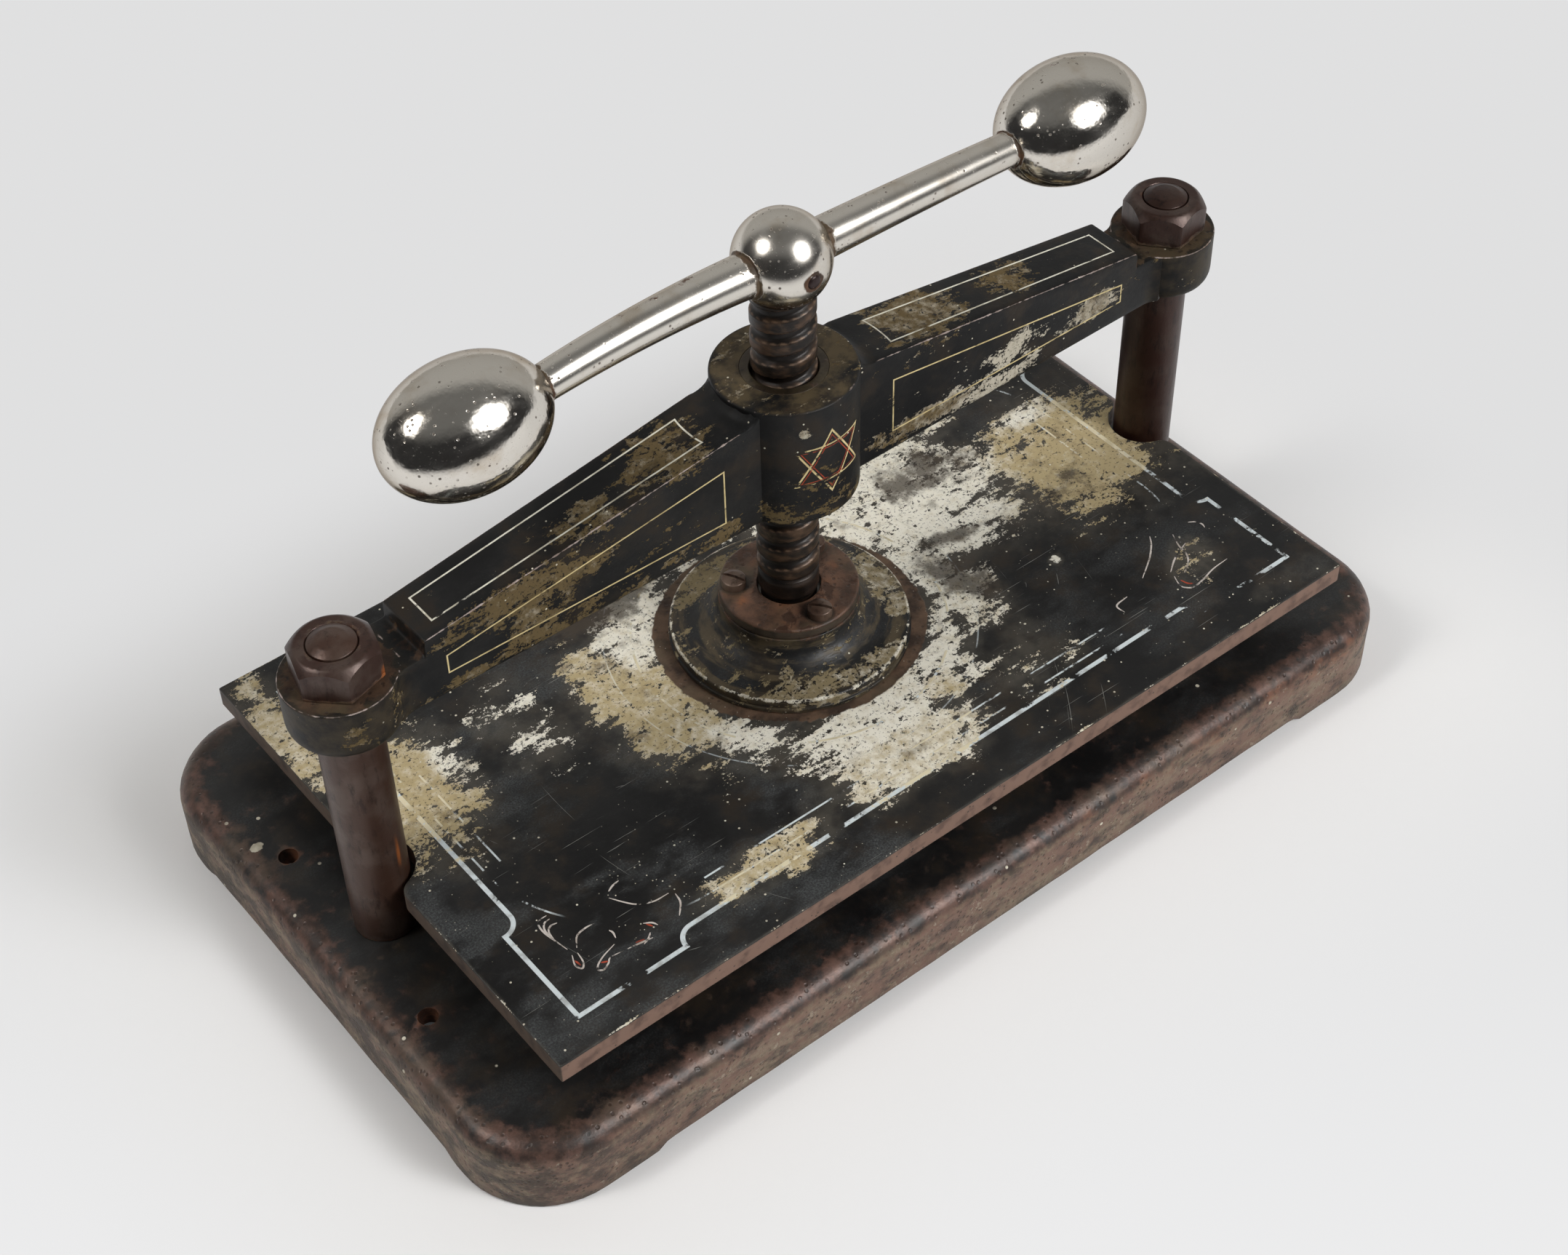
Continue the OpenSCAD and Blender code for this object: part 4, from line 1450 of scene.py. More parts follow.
@dataclass
class Crossbeam:
    """The cast crossbeam: a hub, two tapered arms and an eye at each end, with painted lines."""

    low_z: float = 146.3
    hub_r: float = 28.5
    hub_h: float = 55.0
    hub_edge: float = 1.4
    bush_r: float = 17.0
    eye_x: float = 200.0
    eye_r: float = 21.5
    eye_h: float = 23.2
    eye_low_r: float = 6.0
    stud_r: float = 9.1
    root_h: float = 54.2
    tip_h: float = 30.6
    root_w: float = 15.75
    tip_w: float = 13.5
    step_x: float = 172.0
    fillet_r: float = 10.0
    hub_fillet: float = 7.0
    edge_r: float = 1.1
    frame_in: float = 41.0
    frame_out: float = 164.0
    frame_low: float = 156.5
    frame_top: Pair = (182.0, 165.0)
    top_frame: Pair = (46.0, 164.4)
    top_half: Pair = (8.3, 7.2)
    star_z: float = 175.2
    star_turn: float = -0.6
    star_wide: float = 17.4
    star_tall: float = 15.7
    star_drop: Pair = (2.0, 0.5)
    eye_film: Pair = (176.0, 184.0)
    rubbed: Pair = (-8.0, 164.0)
    patches: tuple[Patch, ...] = (
        Patch((-127, -14, 174), (36, 4, 9), 0.4, 0.12),
        Patch((-124, -14, 150), (44, 5, 5), 0.4, 0.1),
        Patch((-123, -14, 160), (13, 4, 5), 0.5, 0.2),
        Patch((-72, -14, 166), (30, 4, 11), -0.2, 0.15, -0.4),
        Patch((-66, -14, 151), (34, 5, 4), 0.15, 0.2, -0.2),
        Patch((-41, -15, 151), (7, 5, 5), 0.5, 0.1),
        Patch((62, -14, 154), (34, 5, 5), 0.55, 0.25),
        Patch((104, -14, 164), (17, 4, 5), 0.35, 0.9),
        Patch((90, -14, 151), (26, 5, 4), 0.55, 0.8),
        Patch((149, -14, 162), (13, 4, 6), 0.75, 0.6),
        Patch((96, -14, 159), (42, 4, 11), 0.0, 0.95, -0.35),
        Patch((-62, -2, 193), (20, 14, 7), 0.45, 0.2),
        Patch((-98, -7, 187), (22, 7, 6), 0.3, 0.2),
        Patch((64, 0, 191), (24, 16, 7), 0.8, 0.3),
        Patch((112, 2, 184), (14, 10, 6), 0.5, 0.2),
        Patch((-7, -27, 163), (14, 8, 12), 0.05, 0.1, -0.3),
        Patch((6, -27, 149), (26, 8, 7), 0.1, 0.15, -0.25),
        Patch((-19, -21, 150), (9, 9, 7), 0.5, 0.1),
        Patch((-11, -26.3, 190.5), (2.4, 6, 2.2), 1.0, 0.8),
        Patch((22, -16, 200), (8, 9, 3), 0.1, 0.2, -0.3),
        Patch((-205, -20, 157), (8, 6, 10), 0.1, 0.15, -0.25),
        Patch((-187, -18, 162), (6, 6, 9), 0.35, 0.2, -0.25),
        Patch((-70, 14, 165), (40, 5, 10), 0.5, 0.2),
        Patch((95, 14, 170), (35, 5, 9), 0.5, 0.4),
    )

    def half_width(self, x: Array) -> Array:
        """Half width of an arm: an even taper, then the hollow fillet that runs into the eye.

        Args:
            x: distances from the screw's axis.

        Returns:
            The half width at each.
        """
        centre_y = self.tip_w + self.fillet_r
        run = sqrt((self.eye_r + self.fillet_r) ** 2 - centre_y**2)
        start = self.eye_x - run
        touch = start + self.fillet_r * run / (self.eye_r + self.fillet_r)
        taper = self.root_w + (self.tip_w - self.root_w) * x / start
        dip = np.clip(self.fillet_r**2 - (x - start) ** 2, 0.0, None)
        hollow = centre_y - np.sqrt(dip)
        touch_y = centre_y - sqrt(self.fillet_r**2 - (touch - start) ** 2)
        inner = touch_y * (self.eye_x - x) / (self.eye_x - touch) + 0.05
        return np.where(x < start, taper, np.where(x < touch, hollow, inner))

    def arm_top(self, x: Array) -> Array:
        """Height of an arm's sloping top."""
        return self.low_z + self.root_h - (self.root_h - self.tip_h) / self.step_x * np.abs(x)

    def arm(self) -> Surface:
        """The right arm: a rounded section whose width and top change along X.

        Each section runs from the bottom's middle round the outside. Near the hub the top rises in a hollow
        quarter curve of the distance from the screw's axis.

        Returns:
            The closed skin.
        """
        eye_top = self.low_z + self.eye_h
        step_top = float(self.arm_top(np.array(self.step_x)))
        line = rounded([
            (6.0, float(self.arm_top(np.array(6.0))), 0.0), (self.step_x, step_top, 1.3),
            (self.step_x, eye_top, 1.5), (self.eye_x, eye_top, 0.0),
        ])
        line = evenly(line, 2.0)
        x, top = line[:, :1], line[:, 1:]
        wide = self.half_width(x)
        e = self.edge_r
        wall = np.linspace(0.0, 1.0, 16)
        flat = np.linspace(1.0, 0.0, 8)[1:]
        share = np.concatenate([[0.0, 0.5, 1.0, 1.0], np.ones(16), [1.0, 1.0], flat])
        inset = np.concatenate([[0.0, 0.0, 2.0, 0.55], np.zeros(16), [0.32 * e, e], e * flat])
        level = np.concatenate([[0.0, 0.0, 0.0, 0.0], wall, np.ones(9)])
        up = 2.0 - wall * (2.0 + e)
        raise_by = np.concatenate([[0.0, 0.0, 0.0, 0.55], up, [-0.32 * e, 0.0], 0.0 * flat])
        y = wide * share - inset
        away = np.hypot(x, y)
        s = np.clip(1.0 - (away - self.hub_r) / self.hub_fillet, 0.0, 1.0)
        toe = float(self.arm_top(np.array(self.hub_r + self.hub_fillet)))
        lift = self.low_z + self.hub_h - self.hub_edge - toe
        near_hub = toe + lift * (1.0 - np.sqrt(1.0 - s**2))
        crest = np.where(s > 0.0, np.maximum(near_hub, np.minimum(top, near_hub + 50 * (s < 0.02))), top)
        z = self.low_z + (crest - self.low_z) * level + raise_by
        half = np.stack([np.broadcast_to(x, y.shape), y, z], axis=-1)
        other = half[:, -2:0:-1] * np.array([1.0, -1.0, 1.0])
        return Surface.grid(capped(np.concatenate([half, other], axis=1)))

    def build(self) -> Piece:
        """The casting: hub, arms and eyes joined, then bored.

        Returns:
            The piece.
        """
        top, e = self.low_z + self.hub_h, self.hub_edge
        hub = [(0.0, self.low_z, 0.0), (self.hub_r, self.low_z, e), (self.hub_r, top, e), (0.0, top, 0.0)]
        piece = make_object("cast_crossbeam", spun(hub, 2.5, 144, 6))
        eye_top = self.low_z + self.eye_h
        eye = [(0.0, self.low_z, 0.0), (self.eye_r, self.low_z, self.eye_low_r)]
        eye += [(self.eye_r, eye_top, 1.0), (0.0, eye_top, 0.0)]
        ring = spun(eye, 2.5, steps=8).moved(self.eye_x)
        arm = self.arm()
        for side in Side:
            combine(piece, arm.mirrored(side), Cut.JOIN)
            combine(piece, ring.mirrored(side), Cut.JOIN)
            combine(piece, self.bore(self.stud_r, eye_top).moved(side.value * self.eye_x), Cut.REMOVE)
        combine(piece, self.bore(self.bush_r, top), Cut.REMOVE)
        self.weather(piece)
        even_normals(piece, 34.0)
        return piece

    def bore(self, radius: float, top: float) -> Surface:
        """Cutter for a bore through the casting."""
        return plug(radius, self.low_z - 2.0, top + 2.0, 96)

    def weather(self, piece: Piece) -> None:
        """Paint the wear fields: flaked places, rust on the eyes, the step and the hub's top.

        Args:
            piece: the piece, which changes.
        """
        points = points_of(piece)
        x, y, z = points.T
        loss, pale = patch_fields(points, self.patches)
        along, away = np.abs(x), np.hypot(x, y)
        eye = np.hypot(along - self.eye_x, y)
        under_eye, under_hub = self.low_z + self.eye_h - z, self.low_z + self.hub_h - z
        eye_top = smoothstep(1.2, 0.2, under_eye) * (along > self.step_x + 0.2)
        rim = smoothstep(self.eye_r - 2.4, self.eye_r - 0.6, eye) * eye_top * 0.25
        step = (np.abs(along - self.step_x) < 0.4) * (under_eye < 1.0)
        hub_top = (under_hub < 0.4) * (away < self.hub_r + 0.5)
        brink = np.maximum(self.half_width(along) - np.abs(y), self.arm_top(x) - z)
        brink = smoothstep(1.3, 0.3, brink) * (along < self.step_x) * (away > self.hub_r + 2.0)
        hub_rim = smoothstep(1.3, 0.3, np.maximum(self.hub_r - away, under_hub))
        eye_rim = smoothstep(1.0, 0.2, np.maximum(np.abs(self.eye_r - eye), np.abs(under_eye)))
        paint(piece, {
            Wear.LOSS: np.maximum.reduce([loss, -0.5 + 0.0 * x, 0.35 * hub_top - 0.6]),
            Wear.PALE: pale,
            Wear.RUST: np.maximum.reduce([0.7 * eye_top - rim, 0.45 * step, 0.24 * hub_top]),
            Wear.ORANGE: 0.06 * smoothstep(20.5, 16.0, eye) * eye_top,
            # The edge field marks the arms' upper edges and the hub and eye rims, which the finish paints
            # pale as wear and a painted highlight.
            Wear.EDGE: np.maximum.reduce([0.62 * brink, 0.4 * hub_rim, 0.55 * eye_rim]),
        })

    def frames(self, desk: Desk) -> tuple[Sock, Sock]:
        """Line frames on the arms: on the upright faces, and on the sloping tops.

        Each frame is the zero line of the largest of the signed distances to its sides.

        Args:
            desk: the material.

        Returns:
            Masks of the upright frames and of the top ones.
        """
        x, y, z = desk.axes()
        along, across = abs(x), abs(y)
        fall = (self.frame_top[0] - self.frame_top[1]) / (self.frame_out - self.frame_in)
        over = (z - self.frame_top[0] + (along - self.frame_in) * fall) * cos(atan(fall))
        front = (self.frame_in - along).most(along - self.frame_out).most(self.frame_low - z).most(over)
        front_mask = front.stroke(0.65) * across.step(12.3, 12.6)
        near, far = self.top_frame
        narrow = (self.top_half[0] - self.top_half[1]) / (far - near)
        edge = across - self.top_half[0] + (along - near) * narrow
        top = (near - x.hypot(y)).most(along - far).most(edge)
        slope = (self.root_h - self.tip_h) / self.step_x
        on_top = (z - (self.low_z + self.root_h - 1.2) + along * slope).step(0.0, 0.2)
        return front_mask, top.stroke(0.7) * on_top

    def star(self, desk: Desk) -> tuple[Sock, Sock]:
        """Six-pointed star of two triangles on the hub's front.

        A triangle is the largest of three distances along its sides' directions, and the star is drawn in
        arc length round the hub and height.

        Args:
            desk: the material.

        Returns:
            Masks of its outer lines and of the thin ones inside them.
        """
        x, y, z = desk.axes()
        arc = (x.angle(y * -1.0) - radians(self.star_turn)) * (self.hub_r / self.star_wide)
        scale = (self.star_wide + self.star_tall) / 2
        outer: list[Sock] = []
        inner: list[Sock] = []
        lean = cos(radians(30.0))
        for way, drop in zip((1.0, -1.0), self.star_drop):
            rise = (z - (self.star_z - drop)) / self.star_tall
            sides = (arc * lean + rise * (0.5 * way)).most(rise * (0.5 * way) - arc * lean)
            sides = sides.most(rise * -way)
            gap = (sides - 0.5) * scale
            outer.append(gap.stroke(0.75))
            inner.append((gap + 1.2).stroke(0.4))
        on_hub = x.hypot(y).step(self.hub_r - 0.6, self.hub_r - 0.4) * y.step(-4.0, -6.0)
        return outer[0].most(outer[1]) * on_hub, inner[0].most(inner[1]) * on_hub

    def finish(self) -> Material:
        """Black with worn line work, flaked to khaki, rusty on the eyes, with pale worn edges that carry a
        painted highlight.

        Returns:
            The material.
        """
        desk = Desk("crossbeam_black_with_lines")
        black = Lacquer(rough=0.38).layer(desk, 0.15)
        front, top = self.frames(desk)
        star, red = self.star(desk)
        ground = GroundCoat((0.118, 0.084, 0.038), (0.50, 0.46, 0.37), (0.042, 0.029, 0.015))
        x, y, z = desk.axes()
        crown = self.low_z + self.hub_h
        film = z.step(crown - 0.7, crown - 0.3) * x.hypot(y).step(self.hub_r, self.hub_r - 1.6)
        film = film.most(abs(x).step(*self.eye_film) * 0.38)
        oiled = desk.noise(11.0, 7.0, 0.64).step(0.34, 0.58) * film * 0.9
        skin = black.under(OLIVE_OIL, oiled).under(ground, flakes(desk, 6.0))
        rubbed = (x - self.rubbed[0]).hypot(z - self.rubbed[1]).step(15.0, 5.0)
        rubbed = rubbed * y.step(-20.0, -24.0) * 0.06
        left = (desk.noise(7.0, 5.0, 0.65, stretch=(0.4, 1.0, 1.0)) + rubbed).step(0.64, 0.58)
        skin = skin.under(CREAM_LINE, front.most(star) * left)
        skin = skin.under(IVORY_LINE, top * left).under(RED_LINE, red * left)
        rust = Rust(brown=(0.080, 0.046, 0.027), khaki=(0.075, 0.058, 0.032))
        skin = skin.under(rust, rusting(desk))
        # Pale line along the upper edges and rims: wear and a painted highlight.
        edge_wear_and_highlight = desk.field(Wear.EDGE) + desk.noise(3.0, 4.0) - 0.5
        skin = skin.under(WORN_EDGE_AND_HIGHLIGHT, edge_wear_and_highlight.step(0.40, 0.66))
        skin = skin.under(SPECK_PAINT, specks(desk, 5.0, 0.4))
        return desk.finish(skin, 0.22)

    def dress(self) -> None:
        """Build the casting and show it in place of its node."""
        show(self.build(), Body.FRAME, Slot.IRON, self.finish(), "crossbeam")


@dataclass
class Bush:
    """The bush in the hub: what shows is a brown ring round the screw, chamfered at its mouth."""

    low_z: float = 146.3
    top_z: float = 201.3
    outer_r: float = 16.95
    bore_r: float = 12.95
    mouth: float = 0.5

    def dress(self) -> None:
        """Turn the ring and show it in place of its node."""
        skin = spun([
            (self.bore_r, self.low_z + self.mouth, 0.0), (self.bore_r + self.mouth, self.low_z, 0.3),
            (self.outer_r, self.low_z, 0.4), (self.outer_r, self.top_z, 0.4),
            (self.bore_r + self.mouth, self.top_z, 0.3), (self.bore_r, self.top_z - self.mouth, 0.0),
            (self.bore_r, self.low_z + self.mouth, 0.0),
        ], 4.0)
        piece = make_object("bush_ring", skin)
        paint(piece, {Wear.RUST: np.full(len(piece.data.vertices), 0.3)})
        olive = BrownSteel((0.034, 0.024, 0.014), (0.070, 0.054, 0.032), (0.013, 0.010, 0.007))
        show(piece, Body.FRAME, Slot.OILY, PlainBrown("bush_olive_brown", olive).material(), "screw_bush")


@dataclass
class Platen:
    """The flat platen with notches for the columns, painted lines and large worn places."""

    half_x: float = 199.3
    half_y: float = 119.0
    low_z: float = 54.3
    top_z: float = 64.0
    column_x: float = 200.0
    notch_r: float = 14.7
    mouth_r: float = 6.0
    edge: float = 0.7
    screw_ring: float = 37.0
    screw_head: float = 6.1
    screw_r: float = 3.1
    halo: Pair = (49.7, 66.0)
    frame_half: Pair = (183.4, 103.4)
    frame_bite: float = 7.0
    frame_shift: float = 1.9
    frame_skew: float = 0.0104
    worn_corner: Pair = (178.0, -108.0)
    corner_wear: float = 0.13
    ear_x: float = 127.5
    ear_y: float = 50.0
    thin_half: Pair = (110.0, 30.5)
    thin_r: float = 60.0
    side_bar: Pair = (83.4, 108.0)
    end_bar: Pair = (162.5, 28.0)
    circles: Pair = (65.3, 77.0)
    worn_leaf: Pair = (-136.0, -73.0)
    specked_leaf: Pair = (-128.0, -78.0)
    patches: tuple[Patch, ...] = (
        Patch((-70, 0, 64), (22, 40, 20), 1.0, 0.30, turn=8),
        Patch((-44, 43.5, 64), (22, 15, 20), 0.8, 0.85, turn=35),
        Patch((-9, -85, 64), (36, 14, 20), 1.4, 0.6),
        Patch((-3, -56, 64), (32, 8, 20), 0.8, 0.8),
        Patch((25, -65, 64), (11, 10, 20), 0.7, 0.5),
        Patch((63, -36, 64), (17, 15, 20), 0.45, 0.7),
        Patch((88, 15, 64), (46, 29, 20), 0.55, 0.9),
        Patch((84, 46, 64), (36, 13, 20), 0.55, 0.85),
        Patch((162, 2, 64), (40, 34, 20), 1.0, 0.15),
        Patch((162, 35, 64), (13, 7, 20), 0.6, 0.85),
        Patch((-168, 20, 64), (22, 33, 20), 1.0, 0.25, turn=-8),
        Patch((-150, 28, 64), (8, 18, 20), 0.1, 0.9, -0.15),
        Patch((-117, 22, 64), (18, 28, 20), 0.05, 0.9, -0.3),
        Patch((-81, -93, 64), (28, 9, 20), 0.6, 0.35),
        Patch((-192, 80, 64), (11, 34, 20), 0.75, 0.4),
        Patch((61, -77, 64), (24, 18, 20), 0.02, 0.6, -0.32),
        Patch((153, -78, 64), (13, 10, 20), 0.2, 0.35, -0.2, turn=30),
        Patch((110, -41, 64), (3, 2.5, 20), 1.0, 0.95),
        Patch((180, -111, 64), (24, 7, 20), -0.3, 0.6, -0.4),
        Patch((-40, 86, 64), (32, 14, 20), 0.7, 0.45),
        Patch((72, 96, 64), (36, 10, 20), 0.6, 0.4),
        Patch((122, 70, 64), (20, 16, 20), 0.45, 0.7),
    )
    films: tuple[Patch, ...] = (
        Patch((102, 36, 64), (34, 22, 20)),
        Patch((86, -2, 64), (40, 10, 20), turn=-12),
        Patch((150, -8, 64), (40, 24, 20), 0.5),
        Patch((70, -20, 64), (22, 30, 20), turn=20),
        Patch((-60, 60, 64), (60, 30, 20)),
    )

    def end(self, y: Array) -> Array:
        """Half length of the plate at a y: straight ends, round mouths and round notches.

        Args:
            y: places across the plate.

        Returns:
            The half length at each.
        """
        y = np.abs(y)
        mouth_x = self.half_x - self.mouth_r
        setback = self.column_x - mouth_x
        mouth_y = sqrt((self.notch_r + self.mouth_r) ** 2 - setback**2)
        touch = mouth_y * self.notch_r / (self.notch_r + self.mouth_r)
        notch = self.column_x - np.sqrt(np.clip(self.notch_r**2 - y**2, 0.0, None))
        mouth = mouth_x + np.sqrt(np.clip(self.mouth_r**2 - (mouth_y - y) ** 2, 0.0, None))
        return np.where(y < touch, notch, np.where(y < mouth_y, mouth, self.half_x))

    def skin(self) -> Surface:
        """Slab: rows of constant y that share out the length there, above and below, and the walls.

        Returns:
            The closed skin.
        """
        fine = np.linspace(0.0, 22.0, 45)
        coarse = np.linspace(22.0, self.half_y, 45)[1:]
        half = np.concatenate([fine, coarse])
        y = np.concatenate([-half[:0:-1], half])
        u = np.linspace(-1.0, 1.0, 181)
        x = u[None, :] * self.end(y)[:, None]
        flat = np.stack([x, np.broadcast_to(y[:, None], x.shape)], axis=-1)

        def face(z: float) -> Array:
            """The sheet of points at a height."""
            return np.concatenate([flat, np.full(x.shape + (1,), z)], axis=-1)

        top, low = face(self.top_z), face(self.low_z)

        def rim(sheet: Array) -> Array:
            """Points round a sheet's edge, in order."""
            return np.concatenate([sheet[0, :-1], sheet[:-1, -1], sheet[-1, :0:-1], sheet[:0:-1, 0]])

        wall = Surface.grid(np.stack([rim(top), rim(low)]))
        return Surface.joined(Surface.grid(top, wrap=False), Surface.grid(low, wrap=False), wall)

    def build(self) -> Piece:
        """The plate with softened edges and countersunk holes below.

        Returns:
            The piece.
        """
        piece = make_object("pressing_plate", self.skin())
        bevelled(piece, self.edge)
        head = self.screw_head - self.screw_r
        sink = lathe(np.array([
            [0.0, -1.0], [self.screw_head, -1.0], [self.screw_head, 0.0], [self.screw_r, head],
            [self.screw_r, self.top_z - self.low_z - 0.5], [0.0, self.top_z - self.low_z - 0.5],
        ]), 32)
        angle = np.radians(45.0 + 90.0 * np.arange(4))
        spots = self.screw_ring * np.stack([np.cos(angle), np.sin(angle)], axis=-1)
        combine(piece, Surface.joined(*(sink.moved(x, y, self.low_z) for x, y in spots)), Cut.REMOVE)
        self.weather(piece)
        even_normals(piece)
        return piece

    def weather(self, piece: Piece) -> None:
        """Paint the wear fields: flaked places, the halo and rust ring round the boss, brown walls.

        Args:
            piece: the piece, which changes.
        """
        points = points_of(piece)
        x, y, z = points.T
        loss, pale = patch_fields(points, self.patches)
        away = np.hypot(x, y)
        around = np.arctan2(y, x)
        gaps = 0.5 * np.sin(3.0 * around + 0.6) + 0.35 * np.sin(7.0 * around + 2.0)
        halo = 0.42 * (1.0 - np.abs(away - self.halo[1]) / 11.0) + 0.22 * gaps - 0.05
        near_edge = np.minimum(self.half_y - np.abs(y), self.end(y) - np.abs(x))
        edge = -0.05 - near_edge / 2.4
        on_top = z > self.top_z - 0.3
        reach = self.halo[0] + 3.8 + 3.0 * np.cos(around + 0.3) ** 2
        paint(piece, {
            Wear.LOSS: np.where(on_top, np.maximum.reduce([loss, halo, edge]), -0.6),
            Wear.PALE: pale + (0.85 - pale) * smoothstep(-0.35, 0.35, halo - loss),
            Wear.RUST: 0.9 * smoothstep(1.6, -1.6, away - reach) * on_top,
            Wear.EDGE: np.maximum(patch_fields(points, self.films)[0], 0.0),
        })

    def lines(self, desk: Desk) -> tuple[Sock, Sock]:
        """Line work on the plate's top.

        The wide border is the zero line of the largest of four distances: to the outer frame's two pairs
        of sides, and into two strips with round ends that take a bite out of the frame between its ears.
        It was drawn a little askew. Inside it run a thin rounded frame, four thin bars and circles round
        the boss.

        Args:
            desk: the material.

        Returns:
            Masks of the wide border and of the thin lines.
        """
        x, y, _ = desk.axes()
        along, across = abs(x - self.frame_shift), abs(y - x * self.frame_skew)
        (half_x, half_y), bite = self.frame_half, self.frame_bite
        end_bite = bite - (half_x - along).most(0.0).hypot((across - self.ear_y).most(0.0))
        side_bite = bite - (half_y - across).most(0.0).hypot((along - self.ear_x).most(0.0))
        border = (along - half_x).most(across - half_y).most(end_bite).most(side_bite).stroke(1.9)
        along, across = abs(x), abs(y)
        out_x, out_y = along - self.thin_half[0], across - self.thin_half[1]
        corner = out_x.most(0.0).hypot(out_y.most(0.0)) + out_x.most(out_y).least(0.0) - self.thin_r
        worn = (x - self.worn_leaf[0]).hypot((y - self.worn_leaf[1]) * 1.2).step(24.0, 32.0)
        thin = corner.stroke(0.8) * worn
        (bar_y, half_bar), (bar_x, half_end) = self.side_bar, self.end_bar
        bars = (across - bar_y).stroke(0.8) * along.step(half_bar + 0.2, half_bar - 0.2)
        bars = bars.most((along - bar_x).stroke(0.8) * across.step(half_end + 0.2, half_end - 0.2))
        away = x.hypot(y)
        circles = (away - self.circles[0]).stroke(1.0).most((away - self.circles[1]).stroke(0.6) * 0.5)
        return border, thin.most(bars).most(circles)

    def finish(self) -> Material:
        """Black with worn pale lines, flaked to tan and cream, brown at the walls and round the boss, with
        painted sheen towards the left end.

        Returns:
            The material.
        """
        desk = Desk("platen_black_with_lines")
        x, y, z = desk.axes()
        # More haze towards the left end: painted sheen, a lighter blue-grey on that side.
        black = Lacquer().layer(desk, 0.6 + x.step(70.0, -70.0) * 0.5)
        smoke = desk.field(Wear.LOSS) + (desk.noise(21.0, 8.0, 0.66) - 0.5) * 1.8
        black = black.under(SMOKE, smoke.step(-0.6, 0.2) * 0.65)
        border, thin = self.lines(desk)
        corner = (x - self.worn_corner[0]).hypot(y - self.worn_corner[1]).step(125.0, 45.0)
        off = desk.noise(9.0, 6.0, 0.66, stretch=(0.5, 0.5, 1.0)) + corner * self.corner_wear
        cuts = scratches(desk, 24.0, 0.35).most(scratches(desk, -52.0, 0.3)).most(scratches(desk, 2.0, 0.4))
        cuts = cuts.most(swirls(desk, (-95.0, 5.0), 0.4)).most(swirls(desk, (60.0, -20.0), 0.4))
        on_top = z.step(self.top_z - 0.3, self.top_z - 0.1)
        skin = black.under(SCRATCH, cuts * on_top)
        bare = flakes(desk)
        skin = skin.under(GroundCoat(), bare)
        drawn = (border * off.step(0.60, 0.55)).most(thin * off.step(0.53, 0.48)) * on_top
        skin = skin.under(WHITE_LINE, drawn).under(CREAM_WASH, drawn * bare)
        soot = desk.field(Wear.EDGE) + (desk.noise(15.0, 8.0, 0.66) - 0.5) * 2.2
        skin = skin.under(GRIME_AND_SHADE, soot.step(0.32, 0.75) * on_top * 0.85)
        stain = desk.field(Wear.RUST) + (desk.noise(9.0, 6.0, 0.66) - 0.5) * 1.3
        ring = Rust((0.034, 0.020, 0.013), (0.120, 0.072, 0.044), (0.090, 0.066, 0.040))
        skin = skin.under(ring, stain.step(0.32, 0.56))
        leaf = (x - self.specked_leaf[0]).hypot(y - self.specked_leaf[1]).step(24.0, 12.0)
        dots = specks(desk, 5.0, 0.45).most(specks(desk, 2.6, 0.22) * 0.5)
        dots = dots.most(specks(desk, 2.2, 0.3) * leaf)
        skin = skin.under(SPECK_PAINT, dots * on_top)
        wall = z.step(self.top_z - 0.5, self.top_z - 0.9)
        ends = abs(x).step(self.half_x - 0.7, self.half_x - 0.3)
        skin = skin.under(BROWN_WALL, wall).under(GRIME_AND_SHADE, wall * ends * 0.8)
        skin = skin.under(GRIME_AND_SHADE, wall * specks(desk, 3.0, 0.45) * 0.85)
        return desk.finish(skin, 0.4)

    def dress(self) -> None:
        """Build the plate and show it in place of its node."""
        show(self.build(), Body.PLATEN, Slot.IRON, self.finish(), "platen")


